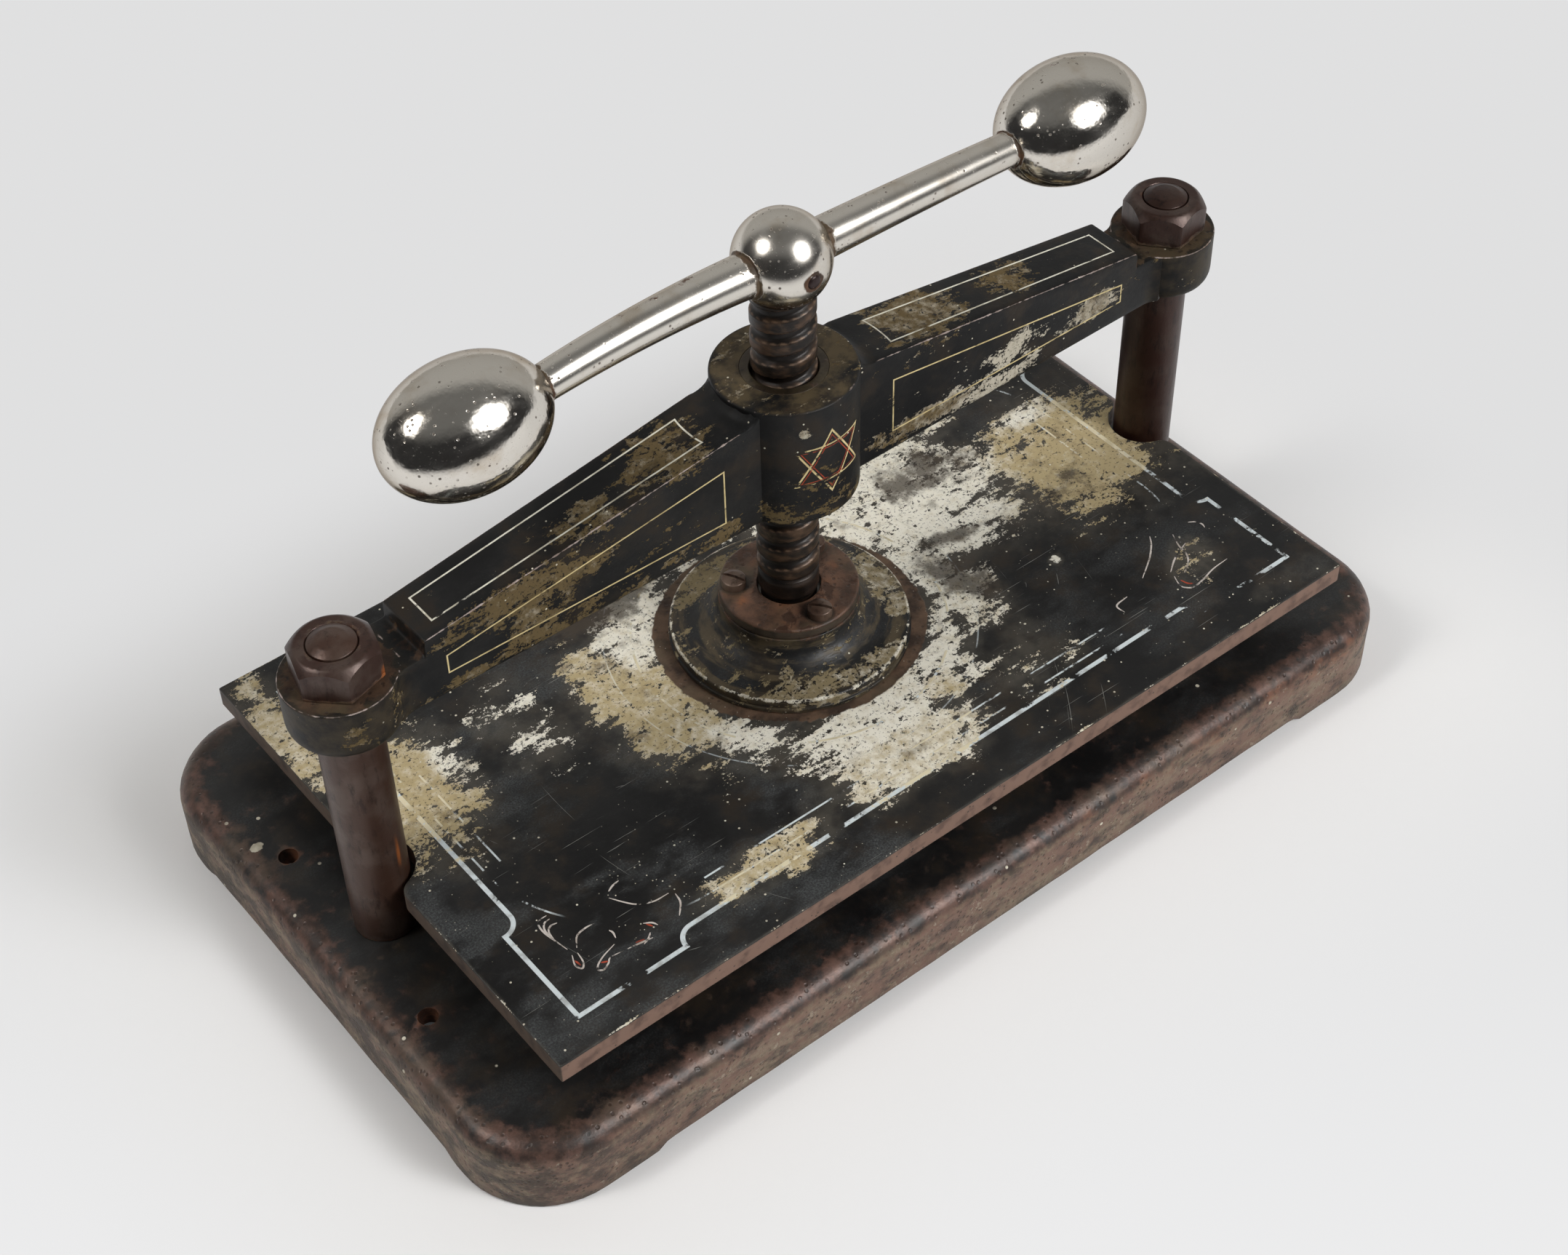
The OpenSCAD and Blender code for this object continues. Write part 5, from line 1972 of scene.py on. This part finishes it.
@dataclass
class Scrolls:
    """Brushed scrolls in the platen's corners: thin raised strokes of line paint."""

    top_z: float = 64.0
    thick: float = 0.06
    wide: float = 0.75
    left_corner: tuple[Stroke, ...] = (
        ((-167.2, -78.2), (-168.4, -72.0), (-169.3, -66.7), (-169.0, -62.4), (-167.2, -60.6),
         (-164.1, -60.4)),
        ((-168.6, -70.0), (-168.5, -65.7), (-166.8, -62.9), (-164.1, -62.4)),
        ((-168.3, -71.1), (-167.8, -67.3), (-165.8, -65.4), (-163.0, -65.7)),
        ((-167.4, -81.4), (-169.2, -86.0), (-167.9, -88.7), (-166.0, -86.4), (-165.2, -81.8)),
        ((-164.1, -79.8), (-160.9, -75.4), (-156.5, -74.3), (-152.7, -74.6)),
        ((-152.5, -87.2), (-158.7, -89.0), (-162.5, -91.0), (-163.9, -93.0), (-162.0, -94.1),
         (-159.2, -92.8), (-157.1, -91.2), (-151.6, -91.7)),
        ((-150.0, -92.0), (-144.6, -92.8), (-139.7, -93.7)),
        ((-144.0, -94.1), (-141.0, -92.8), (-139.1, -91.2)),
        ((-138.6, -86.1), (-135.9, -87.9), (-134.8, -90.1)),
        ((-150.4, -85.2), (-149.7, -82.5), (-150.2, -80.7)),
        ((-141.3, -68.4), (-138.0, -73.8), (-134.8, -77.6), (-129.3, -80.3), (-122.8, -80.7)),
        ((-140.2, -66.2), (-137.0, -64.6), (-133.7, -64.0)),
        ((-121.0, -82.5), (-122.0, -87.0), (-126.0, -91.7)),
    )
    right_corner: tuple[Stroke, ...] = (
        ((129.9, -72.4), (140.2, -65.9), (146.7, -60.4), (150.0, -56.1)),
        ((140.8, -80.0), (138.9, -85.4), (140.2, -88.2), (142.9, -89.6), (148.9, -88.9), (156.5, -87.1),
         (165.2, -86.5)),
        ((145.7, -81.1), (151.1, -77.8), (154.3, -73.5), (155.4, -68.0), (158.2, -61.5)),
        ((141.5, -77.2), (148.9, -72.4), (158.7, -68.6)),
        ((168.5, -60.2), (171.2, -62.1), (172.3, -64.8), (171.7, -67.0)),
        ((110.3, -82.2), (110.5, -77.3), (117.4, -76.2)),
    )
    accents: tuple[Stroke, ...] = (
        ((-161.2, -90.9), (-158.7, -92.1)),
        ((-168.0, -84.0), (-167.6, -87.2)),
        ((-146.0, -91.6), (-142.6, -92.4)),
        ((-137.9, -87.0), (-136.6, -89.4)),
        ((141.3, -83.3), (142.2, -86.4), (144.6, -88.7)),
    )

    def ribbon(self, stroke: Stroke) -> Surface:
        """A stroke as a flat closed strip along a smooth curve through its points.

        Between points b and c, with neighbours a and d, the curve is
        b + s (c - a) / 2 + s^2 bend / 2 + s^3 twist / 2, where bend = 2a - 5b + 4c - d and
        twist = 3b - 3c + d - a. The width swells as a root of the sine along the stroke.

        Args:
            stroke: the points that the stroke runs through.

        Returns:
            The closed skin.
        """
        spots = np.array(stroke)
        spots = np.concatenate([2 * spots[:1] - spots[1:2], spots, 2 * spots[-1:] - spots[-2:-1]])
        a, b, c, d = (spots[i:len(spots) - 3 + i, None, :] for i in range(4))
        s = np.linspace(0.0, 1.0, 8, endpoint=False)[None, :, None]
        bend, twist = 2 * a - 5 * b + 4 * c - d, 3 * b - 3 * c + d - a
        curve = b + s * (c - a) / 2 + s**2 * bend / 2 + s**3 * twist / 2
        line = np.concatenate([curve.reshape(-1, 2), spots[-2:-1]])
        way = np.gradient(line, axis=0)
        way /= np.linalg.norm(way, axis=1, keepdims=True)
        swell = np.sqrt(np.sin(np.linspace(0.12, pi - 0.12, len(line))))
        across = np.stack([-way[:, 1], way[:, 0]], axis=-1) * (self.wide / 2 * swell)[:, None]
        left, right = line + across, line - across
        low, high = (np.full((len(line), 1), self.top_z + h) for h in (-self.thick, self.thick))
        corners = (left, low), (right, low), (right, high), (left, high)
        rows = [np.concatenate(corner, axis=1) for corner in corners]
        return Surface.grid(capped(np.stack(rows, axis=1)))

    def build(self, name: str, strokes: Sequence[Stroke]) -> Piece:
        """All strokes, and again half a turn round, as one piece.

        Args:
            name: the piece's name.
            strokes: the strokes of the front corners.

        Returns:
            The piece.
        """
        ribbons = [self.ribbon(stroke) for stroke in strokes]
        turned = [ribbon.turned(180.0, Axis.Z) for ribbon in ribbons]
        return make_object(name, Surface.joined(*ribbons, *turned))

    def finish(self, name: str, paint_layer: ThinCoat) -> Material:
        """Line paint, worn through to black here and there.

        Args:
            name: the material's name.
            paint_layer: the line paint.

        Returns:
            The material.
        """
        desk = Desk(name)
        gone = desk.noise(5.0, 5.0, 0.66).step(0.5, 0.62)
        return desk.finish(paint_layer.layer(desk).under(Lacquer(), gone), 0.4)

    def dress(self) -> None:
        """Build the pale strokes and the red ones between them."""
        strokes = self.left_corner + self.right_corner
        pale = self.finish("scroll_pale", SCROLL_PAINT)
        show(self.build("corner_scrolls", strokes), Body.PLATEN, Slot.IRON, pale)
        red = self.finish("scroll_red", RED_LINE)
        show(self.build("scroll_accents", self.accents), Body.PLATEN, Slot.IRON, red)


@dataclass
class Boss:
    """The flared boss on the platen, with the retaining disc and its slotted screws."""

    low_z: float = 64.0
    height: float = 20.1
    rim_r: float = 49.7
    rim_h: float = 6.4
    rim_step: float = 0.6
    flange_h: float = 2.3
    neck_r: float = 28.8
    neck_h: float = 2.6
    bore_r: float = 16.9
    floor_t: float = 6.0
    disc_r: float = 28.4
    disc_t: float = 4.9
    disc_bore: float = 12.9
    slot_turns: tuple[float, ...] = (12.0, -64.0, -50.0)
    slot_w: float = 1.3
    slot_h: float = 1.7
    shank_r: float = 2.5
    patches: tuple[Patch, ...] = (
        Patch((-40, -14, 71), (8, 24, 7), -0.05, 0.1, -0.3),
        Patch((2, -44, 70), (32, 6, 5), 0.45, 0.3),
        Patch((-21, -37, 71), (20, 9, 6), 0.3, 0.2),
        Patch((37, -21, 73), (7, 13, 8), 0.6, 0.3),
        Patch((41, -4, 71), (7, 18, 8), 0.75, 0.35),
        Patch((30, 28, 72), (14, 12, 9), 0.7, 0.2),
        Patch((-14, 38, 72), (26, 9, 8), 0.6, 0.15),
    )

    def boss(self) -> Piece:
        """Turned casting: a rim, a flare that is a hollow quarter ellipse, a neck and room for the collar.

        Returns:
            The piece.
        """
        quarter = np.linspace(0.0, pi / 2, 14)[1:-1]
        wide = self.rim_r - 2.2 - self.neck_r
        tall = self.height - self.neck_h - self.rim_h
        flare = [
            (self.neck_r + wide * (1 - sin(a)), self.rim_h + tall * (1 - cos(a)), 0.0)
            for a in quarter
        ]
        inner = self.rim_r - self.rim_step
        corners = [(0.0, 0.0, 0.0), (self.rim_r, 0.0, 0.4), (self.rim_r, self.flange_h, 0.5)]
        corners += [(inner - 0.5, self.flange_h, 0.3), (inner, self.flange_h + 0.8, 0.3)]
        corners += [(inner, self.rim_h, 1.4)]
        corners += [(self.neck_r + wide, self.rim_h, 0.0), *flare, (self.neck_r, self.rim_h + tall, 0.0)]
        corners += [(self.neck_r, self.height, 0.5), (self.bore_r, self.height, 0.3)]
        corners += [(self.bore_r, self.floor_t, 0.5), (0.0, self.floor_t, 0.0)]
        piece = make_object("flared_boss", spun(corners, 2.2, 144).moved(z=self.low_z), 50.0)
        points = points_of(piece)
        loss, pale = patch_fields(points, self.patches)
        x, y, z = points.T
        level = z - self.low_z
        rim = smoothstep(1.2, 0.2, np.hypot(np.hypot(x, y) - inner + 0.6, level - self.rim_h + 0.5))
        foot = smoothstep(2.2, 0.0, level)
        neck = smoothstep(self.height - 4.0, self.height - 1.0, level)
        paint(piece, {
            Wear.LOSS: np.maximum.reduce([loss, 0.4 * rim - 0.25, -0.35 - 0.4 * foot]),
            Wear.PALE: np.where(rim > 0.2, 0.6, pale),
            Wear.RUST: np.maximum(0.6 * foot, 0.55 * neck),
            Wear.ORANGE: 0.1 * neck,
        })
        return piece

    def finish(self) -> Material:
        """Black with a blue sheen, flaked to khaki, brown at the neck.

        Returns:
            The material.
        """
        desk = Desk("boss_black")
        skin = Lacquer(haze=(0.05, 0.055, 0.06), rough=0.3).layer(desk, 0.4)
        x, y, z = desk.axes()
        polar = desk.node("CombineXYZ", {0: x.angle(y) * 9.0, 1: x.hypot(y), 2: z})
        skin = skin.under(OLIVE_OIL, desk.noise(5.0, 6.0, 0.62, vector=polar).step(0.44, 0.6) * 0.75)
        skin = skin.under(GroundCoat(tan=(0.21, 0.165, 0.088)), flakes(desk, 7.0))
        skin = skin.under(Rust(), rusting(desk))
        skin = skin.under(SPECK_PAINT, specks(desk, 4.5, 0.4))
        return desk.finish(skin, 0.45)

    def disc(self) -> Piece:
        """Turned ring with rounded edges.

        Returns:
            The piece.
        """
        low = self.low_z + self.height
        top = low + self.disc_t
        corners = [(self.disc_bore, low, 0.0), (self.disc_r, low, 0.9), (self.disc_r, top, 1.3)]
        corners += [(self.disc_bore, top, 0.4), (self.disc_bore, low, 0.0)]
        piece = make_object("keeper_disc", spun(corners, 2.0, 128))
        points = points_of(piece)
        mottle = ripple(points, 16.0, 2.2)
        fresh = 0.16 + 0.3 * np.maximum(ripple(points, 23.0, 5.0), 0.0)
        paint(piece, {Wear.RUST: 0.62 + 0.3 * mottle, Wear.ORANGE: fresh})
        return piece

    def disc_finish(self) -> Material:
        """Warm brown, with painted shade on the wall below the top's edge and round the screw heads.

        Returns:
            The material.
        """
        desk = Desk("keeper_brown")
        warm = BrownSteel((0.088, 0.046, 0.030), (0.115, 0.070, 0.050), (0.034, 0.018, 0.012))
        rust = Rust((0.050, 0.028, 0.018), (0.150, 0.075, 0.044), rough=0.5)
        skin = warm.layer(desk).under(rust, rusting(desk))
        x, y, z = desk.axes()
        top = self.low_z + self.height + self.disc_t
        # Painted shade: the disc's wall below its top edge and a ring round each screw head are darkened.
        wall = x.hypot(y).step(self.disc_r - 0.7, self.disc_r - 0.3) * z.step(top - 0.7, top - 1.3)
        painted_shade = wall * 0.9
        for number in range(1, len(self.slot_turns) + 1):
            low, high = self.head(number)
            middle, r = (low + high) / 2, (high - low)[0] / 2
            painted_shade = painted_shade.most((x - middle[0]).hypot(y - middle[1]).step(r + 1.7, r + 0.3) * 0.8)
        return desk.finish(skin.under(GRIME_AND_SHADE, painted_shade))

    def head(self, number: int) -> tuple[Array, Array]:
        """Low and high corner of a retaining screw's box, in millimetres."""
        low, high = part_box(f"retaining_screw_{number}")
        return np.array(low) / MM, np.array(high) / MM

    def screw(self, number: int) -> Piece:
        """Screw with a low domed head: a turned profile, cut by a slot across its top.

        Args:
            number: the screw's number, from 1.

        Returns:
            The piece.
        """
        low, high = self.head(number)
        x, y = (low + high)[:2] / 2
        r, top = (high - low)[0] / 2, high[2]
        seat = self.low_z + self.height + self.disc_t
        skin = spun([
            (0.0, low[2], 0.0), (self.shank_r, low[2], 0.5), (self.shank_r, seat, 0.0), (r, seat, 0.2),
            (r, top - 0.9, 0.8), (0.6 * r, top - 0.15, 4.0), (0.0, top, 0.0),
        ], 1.5, 48)
        piece = make_object(f"keeper_screw_{number}", skin.moved(x, y))
        half, cut = self.slot_w / 2, top - self.slot_h
        section = np.array([[-half, cut], [half, cut], [half, top + 1.0], [-half, top + 1.0]])
        ends = np.broadcast_to(np.array([-2.0 * r, 2.0 * r])[:, None, None], (2, 4, 1))
        box = np.concatenate([ends, np.broadcast_to(section, (2, 4, 2))], axis=-1)
        slot = Surface.grid(capped(box)).turned(self.slot_turns[number - 1], Axis.Z)
        combine(piece, slot.moved(x, y), Cut.REMOVE)
        even_normals(piece, 34.0)
        paint(piece, {Wear.RUST: 0.25 + 0.3 * ripple(points_of(piece), 9.0, float(number))})
        return piece

    def dress(self) -> None:
        """Build the boss, its disc and its screws, and finish the screws from below."""
        show(self.boss(), Body.PLATEN, Slot.IRON, self.finish(), "platen_boss")
        show(self.disc(), Body.PLATEN, Slot.BROWN, self.disc_finish(), "retaining_disc")
        dark = BrownSteel((0.095, 0.055, 0.038), (0.150, 0.102, 0.075), (0.030, 0.017, 0.012))
        brown = PlainBrown("keeper_screw_brown", dark).material()
        for number in range(1, len(self.slot_turns) + 1):
            show(self.screw(number), Body.PLATEN, Slot.BROWN, brown, f"retaining_screw_{number}")
        plain = TurnedSteel().material()
        hidden = ["thrust_pad", "thrust_collar", *(f"boss_screw_{i}" for i in range(1, 5))]
        for node in hidden:
            coat(bpy.data.objects[node], plain)


@dataclass
class Spindle:
    """The screw: a pivot, a bulged foot, the right-hand thread and the spigot in the ball."""

    radius: float = 12.6
    lead: float = 10.4
    depth: float = 2.2
    groove_edge: Pair = (0.27, 0.11)
    pivot_r: float = 8.0
    foot_r: float = 12.3
    disc_z: float = 83.8
    foot_z: float = 99.0
    seat_z: float = 237.8
    spigot_r: float = 8.5
    row: float = 0.5
    sides: int = 96

    def skin(self) -> Surface:
        """Helical grid: the radius falls by the groove's depth where height over lead minus turn is whole.

        With u the distance to the nearest whole number, the groove is a soft step that falls from 1 near
        u = 0 to 0 on the flat crest, and it fades in above the foot's neck.

        Returns:
            The closed skin.
        """
        low, high = (corner.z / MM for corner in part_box("spindle"))
        z = np.arange(self.disc_z, self.seat_z, self.row)[:, None]
        angle = circle(self.sides)
        turn = (z - self.seat_z) / self.lead - angle / (2.0 * pi)
        groove = smoothstep(*self.groove_edge, np.abs(turn - np.round(turn)))
        bulge = self.foot_r - 0.9 * smoothstep(3.0, 5.6, np.abs(z - self.foot_z + 5.0))
        neck = 1.2 * np.exp(-(((z - self.foot_z - 1.2) / 1.0) ** 2))
        plain = np.where(z < self.foot_z, bulge, self.radius - neck)
        cut = self.depth * smoothstep(self.foot_z + 2.0, self.foot_z + 6.0, z)
        thread = np.minimum(plain, self.radius - cut * groove)
        middle = rings(np.where(z < self.foot_z, plain, thread), z, angle)
        ends = np.array([
            [0.0, low], [self.pivot_r, low], [self.pivot_r, self.disc_z - 0.01],
            [self.spigot_r, self.seat_z], [self.spigot_r, high], [0.0, high],
        ])
        plain_rows = rings(ends[:, :1], ends[:, 1:], angle)
        return Surface.grid(np.concatenate([plain_rows[:3], middle, plain_rows[3:]]))

    def dress(self) -> None:
        """Build the screw and show it in place of its node."""
        piece = make_object("threaded_spindle", self.skin(), 50.0)
        x, y, z = points_of(piece).T
        away = np.hypot(x, y)
        foot = 0.75 * smoothstep(self.foot_z + 5.0, self.foot_z, z)
        brink = np.exp(-(((away - self.radius + 0.35) / 0.3) ** 2))
        paint(piece, {
            Wear.RUST: np.maximum(smoothstep(self.radius - 0.5, self.radius - 2.0, away) * 0.95, foot),
            # The edge field marks the crests' rounded edges, where the finish paints wear and a highlight.
            Wear.EDGE: brink * (z > self.foot_z + 4.0),
        })
        desk = Desk("oiled_thread")
        show(piece, Body.SCREW, Slot.OILY, desk.finish(OiledSteel().layer(desk)), "spindle")


@dataclass
class Handle:
    """The nickel ball, its cross pin, the two bowed arms and their egg-shaped weights."""

    ball_r: float = 18.8
    ball_z: float = 251.205
    seat_z: float = 237.8
    pin_r: float = 3.2
    pin_out: float = 0.8
    root_r: Pair = (8.7, 8.3)
    tip_r: float = 6.8
    root_x: float = 10.0
    bow: Pair = (2.6, 0.5)
    droop: float = 1.4
    reach: Pair = (137.2, 141.4)
    weight_a: float = 33.2
    weight_b: float = 24.3
    seat_in: float = 3.0
    pitted: Pair = (0.40, 0.27)
    crown: Pair = (14.0, 268.0)

    def place(self, skin: Surface, side: Side) -> Surface:
        """A skin drawn along +X from the screw's axis, put on one arm."""
        return skin.turned(self.droop, Axis.Y).mirrored(side).moved(z=self.ball_z)

    def arm(self, side: Side) -> Piece:
        """Tapered bar along a path that bows up by a parabola between ball and weight.

        Args:
            side: which end of the press.

        Returns:
            The piece.
        """
        sunk = self.weight_a * sqrt(1 - (self.tip_r / self.weight_b) ** 2) - self.seat_in
        end = side.pick(self.reach) - sunk
        t = np.linspace(0.0, 1.0, 60)
        x = self.root_x + (end - self.root_x) * t
        path = np.stack([x, 0.0 * x, side.pick(self.bow) * 4.0 * t * (1.0 - t)], axis=-1)
        root_r = side.pick(self.root_r)
        radius = root_r + (self.tip_r - root_r) * t
        piece = make_object(f"handle_bar_{side.label}", self.place(tube(path, radius), side))
        px, py, pz = points_of(piece).T
        along = np.abs(px)
        joint = smoothstep(self.ball_r + 2.5, self.ball_r - 2.0, along)
        joint = np.maximum(joint, smoothstep(end - 6.0, end - 2.5, along))
        around = np.degrees(np.arctan2(pz - np.interp(along, x, path[:, 2]) - self.ball_z, py))
        upper = smoothstep(32.0, 6.0, np.abs(around - 74.0)) * side.pick(self.pitted)
        paint(piece, {
            Wear.EDGE: np.ones(len(px)),
            Wear.RUST: np.maximum(0.8 * joint, upper),
            Wear.ORANGE: 0.25 * joint,
        })
        return piece

    def weight(self, side: Side) -> Piece:
        """Ellipsoid turned about the arm's line.

        Args:
            side: which end of the press.

        Returns:
            The piece.
        """
        a = np.linspace(0.0, pi, 64)
        profile = np.stack([self.weight_b * np.sin(a), -self.weight_a * np.cos(a)], axis=-1)
        reach = side.pick(self.reach)
        skin = lathe(profile, 112).turned(90.0, Axis.Y).moved(x=reach)
        piece = make_object(f"egg_weight_{side.label}", self.place(skin, side))
        points = points_of(piece)
        joint = smoothstep(2.6, 1.2, np.abs(points[:, 0]) - reach + self.weight_a)
        crown = Patch((side.value * reach, *self.crown), (30.0, 20.0, 14.0)).depth(points)
        paint(piece, {
            Wear.RUST: np.maximum(0.8 * joint, np.clip(0.7 * crown, 0.0, 0.32)),
            Wear.ORANGE: 0.2 * joint,
        })
        return piece

    def ball(self) -> Piece:
        """Sphere cut flat where it sits on the screw.

        Returns:
            The piece.
        """
        low = asin((self.seat_z - self.ball_z) / self.ball_r)
        a = np.linspace(low, pi / 2, 56)
        arc = np.stack([self.ball_r * np.cos(a), self.ball_z + self.ball_r * np.sin(a)], axis=-1)
        profile = np.concatenate([[[0.0, self.seat_z]], arc])
        piece = make_object("ball_knob", lathe(profile, 112), 60.0)
        points = points_of(piece)
        x, y, z = points.T
        near_pin = smoothstep(self.pin_r + 2.4, self.pin_r + 0.4, np.hypot(x, z - self.ball_z))
        near_bar = smoothstep(self.root_r[0] + 2.0, self.root_r[0] + 0.3, np.hypot(y, z - self.ball_z))
        paint(piece, {
            Wear.RUST: 0.75 * np.maximum(near_pin, near_bar),
            Wear.ORANGE: 0.2 * near_bar,
            Wear.EDGE: np.full(len(points), 0.7),
        })
        return piece

    def pin(self) -> Piece:
        """Pin through the ball with low domed ends.

        Returns:
            The piece.
        """
        reach = self.ball_r + self.pin_out
        half = [(0.0, reach, 0.0), (0.75 * self.pin_r, reach - 0.35, 1.5), (self.pin_r, reach - 1.6, 0.6)]
        low = [(r, -z, e) for r, z, e in half[::-1]]
        skin = spun(half + low, 3.0, 48).turned(-90.0, Axis.X)
        piece = make_object("cross_pin", skin.moved(z=self.ball_z))
        paint(piece, {Wear.RUST: 0.15 + 0.3 * ripple(points_of(piece), 7.0, 3.0)})
        return piece

    def finish(self) -> Material:
        """Nickel plate that rusts at the joints.

        Returns:
            The material.
        """
        desk = Desk("worn_nickel")
        skin = Nickel().layer(desk).under(Rust(rough=0.5), rusting(desk))
        return desk.finish(skin, rim=Nickel.rim)

    def dress(self) -> None:
        """Build the handle's pieces and show them in place of their nodes."""
        nickel = self.finish()
        plum = BrownSteel((0.015, 0.006, 0.006), (0.024, 0.011, 0.010), (0.006, 0.003, 0.003))
        show(self.ball(), Body.SCREW, Slot.NICKEL, nickel, "handle_ball")
        show(self.pin(), Body.SCREW, Slot.BROWN, PlainBrown("pin_plum", plum).material(), "ball_pin")
        for side in Side:
            show(self.arm(side), Body.SCREW, Slot.NICKEL, nickel, f"arm_{side.label}")
            show(self.weight(side), Body.SCREW, Slot.NICKEL, nickel, f"weight_{side.label}")


@dataclass
class Studio:
    """Pale floor, soft light and the camera.

    Lengths are in metres, angles in degrees.
    """

    spot: Triple = (-0.4639, -0.5961, 0.8269)
    azimuth: float = -37.71
    elevation: float = 45.34
    roll: float = -1.40
    lens: float = 60.17
    sensor: float = 36.0
    floor_half: float = 20.0
    floor_tint: Colour = (0.87, 0.87, 0.875)
    far_tint: Colour = (0.745, 0.745, 0.748)
    front_tint: Colour = (0.86, 0.86, 0.865)
    front_edge: Pair = (-0.1, 0.4)
    foot: Pair = (0.2325, 0.1338)
    near_far: Pair = (-0.02, 0.15)
    sweep_tint: Colour = (0.42, 0.415, 0.40)
    ceiling_tint: Colour = (0.16, 0.16, 0.157)
    ceiling_edge: Pair = (0.4, 0.85)
    room_tint: Colour = (0.030, 0.030, 0.031)
    sweep_edge: Pair = (0.15, 0.55)
    horizon_edge: Pair = (0.12, 0.06)
    paper_end: Pair = (0.45, 1.1)
    fade: float = 2.2
    aim: Triple = (0.0, 0.0, 0.1)
    seen_by: tuple[str, ...] = ("Is Camera Ray", "Is Glossy Ray", "Is Transmission Ray")

    def camera(self) -> None:
        """Camera solved on the photograph: its axes come from azimuth, elevation and roll."""
        a, e, r = (radians(v) for v in (self.azimuth, self.elevation, self.roll))
        back = Vector((sin(a) * cos(e), -cos(a) * cos(e), sin(e)))
        right = Vector((cos(a), sin(a), 0.0))
        up = back.cross(right)
        across = cos(r) * right + sin(r) * up
        upright = cos(r) * up - sin(r) * right
        data = bpy.data.cameras.new("view")
        data.sensor_fit = "HORIZONTAL"
        data.sensor_width = self.sensor
        data.lens = self.lens
        data.clip_end = 50.0
        eye = link("view", data)
        turn = Matrix((across, upright, back)).transposed().to_4x4()
        eye.matrix_world = Matrix.Translation(self.spot) @ turn
        bpy.context.scene.camera = eye

    def floor(self) -> None:
        """Large flat floor under the feet: lit paper near the base, and a pale tone away from it that is
        brighter towards the camera, a painted pool of lamp light.

        Only what the camera and mirrors see gets that tone, and mirrors see the paper end in front.
        """
        h = self.floor_half
        mesh = bpy.data.meshes.new("floor")
        mesh.from_pydata([(-h, -h, 0.0), (h, -h, 0.0), (h, h, 0.0), (-h, h, 0.0)], [], [(0, 1, 2, 3)])
        sheet = link("floor", mesh)
        desk = Desk("pale_floor")
        cloud = desk.noise(300.0, 3.0)
        tint = desk.mix(self.floor_tint, tuple(0.98 * c for c in self.floor_tint), cloud)
        paper = desk.node("BsdfDiffuse", {"Color": tint})
        x, y, _ = desk.axes()
        toward = (x * sin(radians(self.azimuth)) - y * cos(radians(self.azimuth))) * MM
        # Painted light: the pale tone is brighter on the side towards the camera, as if lit by the lamps in
        # front.
        pale = desk.mix(self.far_tint, self.front_tint, toward.step(*self.front_edge))
        rays = [desk.node("LightPath", {}, ray) for ray in self.seen_by]
        seen = rays[0].most(rays[1]).most(rays[2])
        pale = desk.mix(pale, self.room_tint, rays[1] * toward.step(*self.paper_end))
        glow = desk.node("Emission", {"Color": pale})
        out_x, out_y = ((abs(v) * MM - half).most(0.0) for v, half in zip((x, y), self.foot))
        far = out_x.hypot(out_y).step(*self.near_far)
        both = desk.node("MixShader", {0: far * seen, 1: paper, 2: glow})
        desk.node("OutputMaterial", {"Surface": both}, None)
        mesh.materials.append(desk.material)

    def sky(self) -> None:
        """World like a studio: a grey sweep behind, pale at its foot, a dim ceiling, a dark room in front."""
        world = bpy.data.worlds.new("studio")
        bpy.context.scene.world = world
        world.use_nodes = True
        desk = Desk.over(world.node_tree)
        way = desk.node("TexCoord", {}, "Generated")
        x, y, z = desk.axes(way)
        a = radians(self.azimuth)
        behind = (y * cos(a) - x * sin(a)).step(*self.sweep_edge)
        room = desk.mix(self.room_tint, self.ceiling_tint, z.step(*self.ceiling_edge))
        tint = desk.mix(room, self.sweep_tint, behind)
        tint = desk.mix(tint, self.far_tint, z.step(*self.horizon_edge) * behind)
        light = desk.node("Background", {"Color": tint})
        desk.node("OutputWorld", {"Surface": light}, None)

    def lamp(self, name: str, spot: Triple, size: float, watts: float, tint: Colour) -> None:
        """Soft lamp that faces the middle of the press.

        Like an umbrella it fades outwards: (1 - twice the distance from its middle) to a power.

        Args:
            name: the lamp's name.
            spot: its place in metres.
            size: its side in metres.
            watts: its power before the fading.
            tint: its colour.
        """
        data = bpy.data.lights.new(name, "AREA")
        data.size = size
        data.energy = watts
        data.color = tint
        data.use_nodes = True
        desk = Desk.over(data.node_tree)
        u, v, _ = desk.axes(desk.node("NewGeometry", {}, "Parametric"))
        glow = (1.0 - (u - 0.5).hypot(v - 0.5) * 2.0).most(0.0) ** self.fade
        light = desk.node("Emission", {"Strength": glow})
        desk.node("OutputLight", {"Surface": light}, None)
        aim = Vector(self.aim) - Vector(spot)
        turn = aim.to_track_quat("-Z", "Y").to_matrix().to_4x4()
        link(name, data).matrix_world = Matrix.Translation(spot) @ turn

    def build(self) -> None:
        """Set the stage."""
        self.camera()
        self.floor()
        self.sky()
        self.lamp("right_umbrella", (0.72, -1.76, 1.57), 1.9, 380.0, (1.0, 0.995, 0.99))
        self.lamp("left_umbrella", (-1.56, 0.39, 1.89), 1.4, 198.0, (1.0, 0.975, 0.94))
        bpy.context.scene.view_settings.view_transform = "Standard"


def main() -> None:
    """Build the press around its frame."""
    logging.basicConfig(level=logging.INFO, format="%(name)s: %(message)s")
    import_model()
    Studio().build()
    for assembly in (Base, Columns, Crossbeam, Bush, Platen, Scrolls, Boss, Spindle, Handle):
        assembly().dress()


if __name__ == "__main__":
    main()
